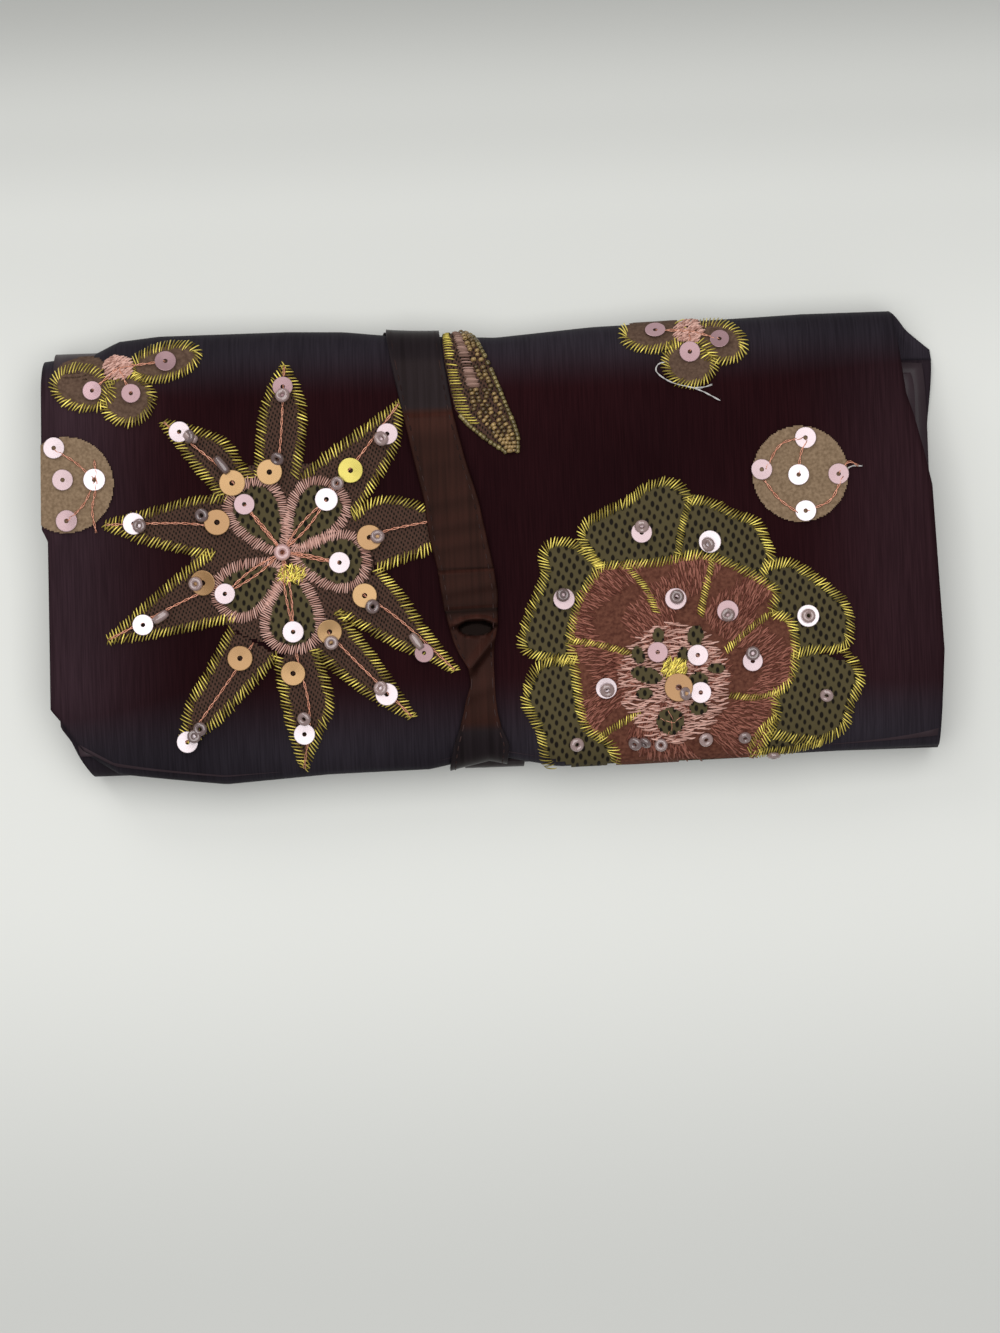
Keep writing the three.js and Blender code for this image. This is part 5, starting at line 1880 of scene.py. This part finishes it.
# %% Star flower
STAR = (283, 552)
STAR_HUB = 92
STAR_RIM = 5
STAR_ZARI = ((292, 574), (14, 9))
STAR_BEAD = (283, 553)
STAR_RAYS = [
    [(259, 477), (261, 435), (267, 400), (284, 366), (300, 400), (302, 435), (295, 476)],
    [(303, 478), (330, 455), (355, 437), (399, 404), (396, 440), (385, 465), (353, 515)],
    [(355, 517), (372, 503), (400, 501), (450, 518), (432, 546), (405, 558), (378, 568)],
    [(378, 570), (400, 595), (420, 625), (455, 670), (425, 655), (400, 645), (338, 612)],
    [(340, 612), (355, 635), (375, 660), (412, 716), (380, 700), (350, 680), (315, 650)],
    [(316, 650), (330, 702), (320, 730), (304, 766), (297, 745), (290, 720), (278, 657)],
    [(277, 655), (255, 680), (215, 722), (183, 746), (190, 705), (205, 680), (232, 630)],
    [(213, 553), (190, 570), (165, 590), (109, 640), (150, 635), (190, 627), (235, 617)],
    [(227, 498), (190, 502), (160, 510), (106, 525), (135, 537), (165, 545), (213, 556)],
    [(250, 478), (240, 465), (220, 440), (164, 423), (180, 445), (200, 470), (222, 495)],
]
STAR_PETALS = [((278, 546), (245, 490), 25), ((296, 544), (331, 490), 25), ((300, 558), (362, 563), 25)]
STAR_PETALS += [((293, 580), (293, 645), 26), ((277, 569), (225, 603), 23)]
STAR_TIPS = [(180, 433), (387, 435), (135, 524), (144, 625), (188, 741), (305, 733), (387, 694)]
# These two tip sequins get the darker sequin finish as painted shade.
STAR_SHADED_TIPS = [(283, 388), (424, 653)]
STAR_BASES = [(233, 484), (270, 473), (370, 538), (365, 596), (330, 632), (294, 673)]
STAR_BASES += [(241, 658), (204, 583), (218, 523)]
STAR_LEMON = (351, 471)
STAR_INNER = [(245, 505), (327, 500), (340, 563), (294, 632), (226, 594)]
STAR_BEADS = [(283, 397), (278, 460), (381, 440), (338, 484), (190, 438)]
STAR_BEADS += [(141, 526), (203, 516), (197, 584), (195, 735), (201, 728)]
STAR_BEADS += [(305, 718), (381, 688), (332, 643), (373, 607), (378, 537)]
STAR_BUGLES = [((155, 622), (169, 612)), ((216, 458), (229, 474))]
STAR_BUGLES += [((411, 634), (422, 649)), ((185, 435), (198, 442))]


def ray_middle(ray):
    """A ray's middle line, from its base to its tip."""
    points = np.array(ray, float)
    return [(points[0] + points[6]) / 2, (points[1] + points[5]) / 2, points[3]]


def petal(inner, outer, half_width, grow=0):
    """A closed teardrop in photo pixels: pointed at its inner end and round at its outer end."""
    inner, outer = np.array(inner, float), np.array(outer, float)
    along = unit(outer - inner)
    inner, outer = inner - along * grow, outer + along * grow
    t = full_turn(44)
    share = (1 - np.cos(t)) / 2
    wide = (half_width + grow) * np.sin(t) * (0.5 + 0.68 * share)
    side = np.array([-along[1], along[0]])
    return inner + (outer - inner) * share[:, None] + side * wide[:, None]


def dress_star():
    net = cut_cloth("star_rays", STAR_RAYS, 0.45, dark_net)
    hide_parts("star_flower_patch")
    cut_cloth("star_hub", [ellipse(STAR, (STAR_HUB, STAR_HUB))], 0.4, dark_net)
    cut_cloth("star_petals", [petal(*p) for p in STAR_PETALS], 0.6, olive_net, 0.5)
    edges = [band(side, width=2.6, spacing=0.86) for ray in STAR_RAYS for side in (ray[:4], ray[3:])]
    sew("star_gold", edges, gold, thickness=0.36, height=0.95, seed=21)
    rims = [petal(*p, STAR_RIM) for p in STAR_PETALS]
    pinks = [band(closed(rim), width=2.7, spacing=0.55, slant=0.25) for rim in rims]
    sew("star_pink", pinks, pink, thickness=0.38, height=1.05, seed=22)
    zari = strokes(ellipse(*STAR_ZARI), steady(0.4, 1.0), length=2.0, spacing=0.5, spread=0.6)
    sew("star_zari", [zari], gold, thickness=0.3, height=1.3, seed=23)
    lines = [ray_middle(ray) for ray in STAR_RAYS]
    lines += [[STAR, np.add(STAR, end) / 2 + (3, 2), end] for end in STAR_INNER]
    lines += [[STAR, np.add(STAR, end) / 2 - (3, 2), end] for end in STAR_INNER]
    lay_threads("star_copper", lines)
    sew_sequins("star_sequins", STAR_TIPS + STAR_INNER, 21.5, silver, height=1.7)
    # Painted shade: the two shaded tips are darker copies of the pale sequins.
    sew_sequins("star_mauve_sequins", STAR_SHADED_TIPS, 19.5, darker_sequin, height=1.7, seed=18)
    sew_sequins("star_copper_sequins", STAR_BASES, 25, peach, height=1.8, seed=14, tilt=0.12)
    sew_sequins("star_yellow_sequin", [STAR_LEMON], 25, lemon, height=1.7, seed=17)
    sew_beads("star_beads", STAR_BEADS, 15, height=2.3)
    sew_beads("star_middle_bead", [STAR_BEAD], 17, height=2.3, finish=blush, seed=16)
    sew_bugles("star_bugles", STAR_BUGLES)


dress_star()
print("star flower done")

# %% [markdown]
# ## Dahlia
# Outer petals of olive net and an inner flower of burgundy cloth, all edged with gold, with rose and
# pink satin strokes in the middle. The lower edge of the roll cuts it off.

# %% Dahlia
DAHLIA = (675, 677)
DAHLIA_CUT = [(768, 775), (600, 775)]
DAHLIA_ZARI = ((674, 668), (13, 10))
DAHLIA_COPPER = (678, 687)
DAHLIA_CROSS = [[(668, 735), (672, 722), (668, 708)], [(660, 718), (672, 722), (682, 716)]]
SWIRL = np.array([[1, 0.3], [-0.3, 1]])
DAHLIA_OUTER = [
    [(553, 768), (545, 755), (540, 730), (527, 705), (527, 690), (540, 665), (575, 660)],
    [(575, 660), (535, 655), (522, 645), (527, 620), (535, 600)]
    + [(545, 575), (543, 555), (552, 543), (575, 545), (600, 566)],
    [(600, 568), (582, 540), (585, 525), (600, 515), (630, 500)]
    + [(645, 488), (665, 482), (680, 488), (689, 500)],
    [(689, 500), (710, 503), (735, 515), (755, 522), (765, 540), (770, 555), (762, 574)],
    [(766, 566), (790, 563), (810, 575), (830, 590), (845, 605)]
    + [(850, 625), (843, 647), (810, 650), (793, 655)],
    [(843, 650), (855, 665), (860, 680), (850, 705), (845, 725), (825, 738), (800, 738), (768, 732)],
]
DAHLIA_INNER = [(618, 766), (612, 745), (600, 737), (585, 725), (579, 700), (574, 665), (570, 640)]
DAHLIA_INNER += [(576, 608), (586, 588), (601, 568), (625, 565), (660, 562), (700, 555), (732, 565)]
DAHLIA_INNER += [(760, 580), (776, 592), (772, 612), (790, 621), (795, 650), (790, 680), (775, 695)]
DAHLIA_INNER += [(776, 716), (764, 742), (752, 768)]
DAHLIA_LINES = [
    [(689, 500), (682, 525), (677, 556)],
    [(625, 565), (645, 588), (656, 612)],
    [(712, 560), (705, 590), (700, 615)],
    [(772, 612), (750, 628), (726, 650)],
    [(570, 640), (600, 645), (635, 655)],
    [(730, 695), (755, 697), (777, 692)],
    [(600, 737), (612, 728), (640, 712)],
    [(776, 716), (762, 728), (750, 748)],
    [(752, 752), (790, 748), (822, 741)],
]
DAHLIA_HEART = ((674, 682), (53, 60), 0)
DAHLIA_EYES = [((695, 636), (8, 11), 10), ((658, 636), (6, 8), 0), ((638, 655), (6, 9), -20)]
DAHLIA_EYES += [((646, 675), (16, 8), 14), ((644, 693), (8, 6), 0), ((670, 720), (14, 13), 0)]
DAHLIA_EYES += [((698, 680), (10, 8), 0), ((698, 707), (9, 7), 0), ((716, 668), (9, 5), 0)]
DAHLIA_EYES += [((683, 655), (6, 8), 0)]
DAHLIA_SEQUINS = [(641, 533), (709, 542), (807, 616), (564, 599), (675, 599), (727, 611)]
DAHLIA_SEQUINS += [(752, 661), (606, 688), (657, 652), (697, 655), (700, 692)]
DAHLIA_BEADS = [(641, 527), (707, 545), (807, 616), (563, 595), (676, 597), (727, 615), (752, 653)]
DAHLIA_BEADS += [(607, 690), (685, 693)]
DAHLIA_LOW_BEADS = [(826, 695), (577, 743), (635, 742), (645, 741), (661, 743), (699, 763), (706, 738)]
DAHLIA_LOW_BEADS += [(745, 736), (775, 752)]


def dress_dahlia():
    ring = [p for petal in DAHLIA_OUTER for p in petal[1:-1]] + DAHLIA_CUT
    net = cut_cloth("dahlia_petals", [ring], 0.4, olive_net)
    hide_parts("dahlia_patch")
    cut_cloth("dahlia_heart", [DAHLIA_INNER], 0.55, burgundy)
    cut_cloth("dahlia_eyes", [ellipse(*eye, 16) for eye in DAHLIA_EYES], 1.35, olive_net, 0.4)
    edges = [band(line, width=2.6, spacing=0.74) for line in DAHLIA_OUTER + [DAHLIA_INNER]]
    edges += [band(line, width=1.9, spacing=0.62) for line in DAHLIA_LINES]
    sew("dahlia_gold", edges, gold, thickness=0.34, height=1.05, seed=31)
    middle = spot([DAHLIA])[0]

    def outward(p):
        return (p - middle) @ SWIRL + TINY

    rays = strokes(DAHLIA_INNER, outward, length=2.6, spacing=0.8, spread=4.0)
    patchy = np.sin(rays[0][:, 0] / 3.1 + 2 * np.sin(rays[0][:, 1] / 4.2)) > -0.35
    kept = (rays[0][patchy], rays[1][patchy])
    sew("dahlia_rose", [kept], rose, thickness=0.42, height=0.8, seed=32)
    heart = ellipse(*DAHLIA_HEART)
    level = strokes(heart, steady(1.0, 0.06), length=3.2, spacing=1.0, spread=0.16)
    sew("dahlia_pink", [level], pink, thickness=0.42, height=1.0, seed=33)
    zari = strokes(ellipse(*DAHLIA_ZARI), steady(0.7, 1.0), length=2.2, spacing=0.5, spread=0.4)
    sew("dahlia_zari", [zari], gold, thickness=0.32, height=1.5, seed=34)
    lay_threads("dahlia_copper", DAHLIA_CROSS, radius=0.1)
    sew_sequins("dahlia_sequins", DAHLIA_SEQUINS, 21, silver, height=1.8, seed=35)
    sew_sequins("dahlia_copper_sequin", [DAHLIA_COPPER], 27, peach, height=1.9, seed=36)
    sew_beads("dahlia_beads", DAHLIA_BEADS, 14.5, height=2.4, seed=37)
    sew_beads("dahlia_low_beads", DAHLIA_LOW_BEADS, 14, height=1.3, seed=38)


dress_dahlia()
print("dahlia done")

# %% [markdown]
# ## Round patches and posies
# Felt rounds with sequins, and small flowers with a pink middle at both upper corners.
# They come in pairs, so one function makes each kind.

# %% Round patches and posies
ROUND_RIGHT = (800, 474)
ROUND_LEFT = (66, 485)
ROUND_REACH = 48
RIGHT_SEQUINS = [(805, 438), (761, 470), (798, 475), (838, 474), (805, 511)]
LEFT_SEQUINS = [(54, 448), (63, 480), (95, 480), (67, 521)]
POSY_LEFT = [((82, 388), (30, 20), 12), ((127, 399), (25, 24), 0), ((164, 362), (34, 16), -14)]
POSY_LEFT += [((80, 368), (24, 12), -8)]
POSY_RIGHT = [((655, 332), (32, 17), -6), ((690, 362), (25, 23), 0), ((719, 341), (26, 19), 20)]
POSY_LEFT_HEART = (118, 368)
POSY_RIGHT_HEART = (690, 332)
POSY_HEART_REACH = (14, 12)
POSY_LEFT_SEQUINS = [(92, 391), (131, 394), (165, 362)]
POSY_RIGHT_SEQUINS = [(656, 332), (690, 352), (720, 340)]
RIGHT_THREADS = [[(765, 470), (780, 445), (803, 438)], [(842, 476), (830, 500), (806, 511)]]
RIGHT_THREADS += [[(798, 475), (800, 455), (806, 440)], [(838, 474), (848, 462), (858, 466)]]
RIGHT_THREADS += [[(763, 480), (778, 499), (797, 513)]]
LEFT_THREADS = [[(95, 460), (97, 485), (93, 510), (97, 533)], [(54, 450), (75, 462), (95, 480)]]
LEFT_THREADS += [[(67, 521), (84, 505), (95, 482)]]
LOOSE_THREAD = [[(667, 362), (658, 365), (657, 373), (672, 383), (698, 390), (720, 401)]]
LOOSE_THREAD += [[(690, 388), (702, 388), (712, 385)]]
ROUND_TAIL = [[(842, 472), (852, 466), (862, 466)]]


def dress_round(name, centre, sequins, node, threads):
    outline = ellipse(centre, (ROUND_REACH, ROUND_REACH))
    cloth = cut_cloth(name + "_felt", [outline], 0.7, felt, 0.35)
    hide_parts(node)
    lay_threads(name + "_copper", threads)
    sew_sequins(name + "_sequins", sequins, 21, silver, height=1.2, seed=41, tilt=0.04)


def dress_posy(name, petals, heart, node, sequins):
    outlines = [ellipse(*petal) for petal in petals]
    cloth = cut_cloth(name + "_petals", outlines, 0.55, taupe, 0.5)
    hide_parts(node)
    rims = [band(closed(outline), width=2.4, spacing=0.8) for outline in outlines[:3]]
    sew(name + "_gold", rims, gold, thickness=0.35, height=0.95, seed=43)
    middle = ellipse(heart, POSY_HEART_REACH)
    tuft = strokes(middle, steady(1.0, 0.5), length=1.9, spacing=0.5, spread=0.12)
    sew(name + "_pink", [tuft], pink, thickness=0.5, height=1.2, seed=44)
    sew_sequins(name + "_sequins", sequins, 20, darker_sequin, height=1.3, seed=45)
    lay_threads(name + "_copper", [[heart, end] for end in sequins])


dress_round("round_right", ROUND_RIGHT, RIGHT_SEQUINS, "round_patch_right", RIGHT_THREADS)
dress_round("round_left", ROUND_LEFT, LEFT_SEQUINS, "round_patch_left", LEFT_THREADS)
dress_posy("posy_left", POSY_LEFT, POSY_LEFT_HEART, "posy_patch_left", POSY_LEFT_SEQUINS)
dress_posy("posy_right", POSY_RIGHT, POSY_RIGHT_HEART, "posy_patch_right", POSY_RIGHT_SEQUINS)
lay_threads("loose_thread", LOOSE_THREAD, white_thread, radius=0.1, twist=0.1, height=0.8)
lay_threads("round_tail", ROUND_TAIL, white_thread, radius=0.12, twist=0.1, height=0.6)
for template in TEMPLATES.values():
    bpy.data.objects.remove(template)
print("patches done")

# %% [markdown]
# ## Stage, camera and light
# A pale floor that darkens towards the far end and large soft lights stand in for the photo's tabletop.

# %% Stage, camera and light
FLOOR_TINT = np.array([1.0, 1.005, 0.945])
# FLOOR_SHADES paints light falloff on the floor: darker towards the far end and a little towards the near
# end.
FLOOR_SHADES = [(-190, 0.62), (-75, 0.78), (30, 0.77), (85, 0.68), (110, 0.6), (150, 0.4)]
FLOOR_HALF = 900.0
LENS = 85
SENSOR = 36
CAMERA_HEIGHT = 0.7974
ROOM_COLOR = (0.92, 0.94, 1, 1)
ROOM_STRENGTH = 0.3
floor_paper = plain("Floor", FLOOR_TINT * FLOOR_SHADES[1][1], 0.9)


def shade_floor(material, shades):
    """Paints light falloff on the paper along Y, from a list of places in millimetres and levels."""
    nodes, links = material.node_tree.nodes, material.node_tree.links
    place = nodes.new("ShaderNodeTexCoord")
    split = nodes.new("ShaderNodeSeparateXYZ")
    reach = nodes.new("ShaderNodeMapRange")
    start, end = shades[0][0], shades[-1][0]
    reach.inputs["From Min"].default_value = start * MM
    reach.inputs["From Max"].default_value = end * MM
    ramp = nodes.new("ShaderNodeValToRGB")
    ramp.color_ramp.interpolation = "EASE"
    for k, (y, level) in enumerate(shades):
        elements = ramp.color_ramp.elements
        stop = elements[k] if k < 2 else elements.new(1)
        stop.position = (y - start) / (end - start)
        stop.color = (*(FLOOR_TINT * level), 1)
    links.new(place.outputs["Object"], split.inputs["Vector"])
    links.new(split.outputs["Y"], reach.inputs["Value"])
    links.new(reach.outputs["Result"], ramp.inputs["Fac"])
    links.new(ramp.outputs["Color"], nodes["Principled BSDF"].inputs["Base Color"])


shade_floor(floor_paper, FLOOR_SHADES)
corners = np.array([(-1, -1, 0), (1, -1, 0), (1, 1, 0), (-1, 1, 0)]) * FLOOR_HALF
make("floor", corners, [[0, 1, 2, 3]], floor_paper)
camera_data = bpy.data.cameras.new("camera")
camera_data.lens = LENS
camera_data.sensor_width = SENSOR
camera = bpy.data.objects.new("camera", camera_data)
bpy.context.scene.collection.objects.link(camera)
aim = spot([PHOTO_SIZE / 2])[0]
camera.location = (aim[0] * MM, aim[1] * MM, CAMERA_HEIGHT)
camera.rotation_euler = (0, 0, -PHOTO_TURN)
bpy.context.scene.camera = camera


def area_light(name, place, target, size, power):
    data = bpy.data.lights.new(name, "AREA")
    data.shape = "RECTANGLE"
    data.size, data.size_y = size
    data.energy = power
    light = bpy.data.objects.new(name, data)
    light.location = place
    light.rotation_euler = (Vector(target) - Vector(place)).to_track_quat("-Z", "Y").to_euler()
    bpy.context.scene.collection.objects.link(light)


area_light("sky", place=(0.0, 0.05, 0.95), target=(0, 0, 0), size=(1.1, 1.1), power=8.6)
area_light("window", place=(-0.55, 0.75, 0.6), target=(0, 0, 0.01), size=(0.5, 0.5), power=2.2)
world = bpy.data.worlds.new("room")
world.use_nodes = True
room = world.node_tree.nodes["Background"]
room.inputs["Color"].default_value = ROOM_COLOR
room.inputs["Strength"].default_value = ROOM_STRENGTH
bpy.context.scene.world = world
bpy.context.scene.view_settings.view_transform = "Standard"
print("camera at", camera.location)
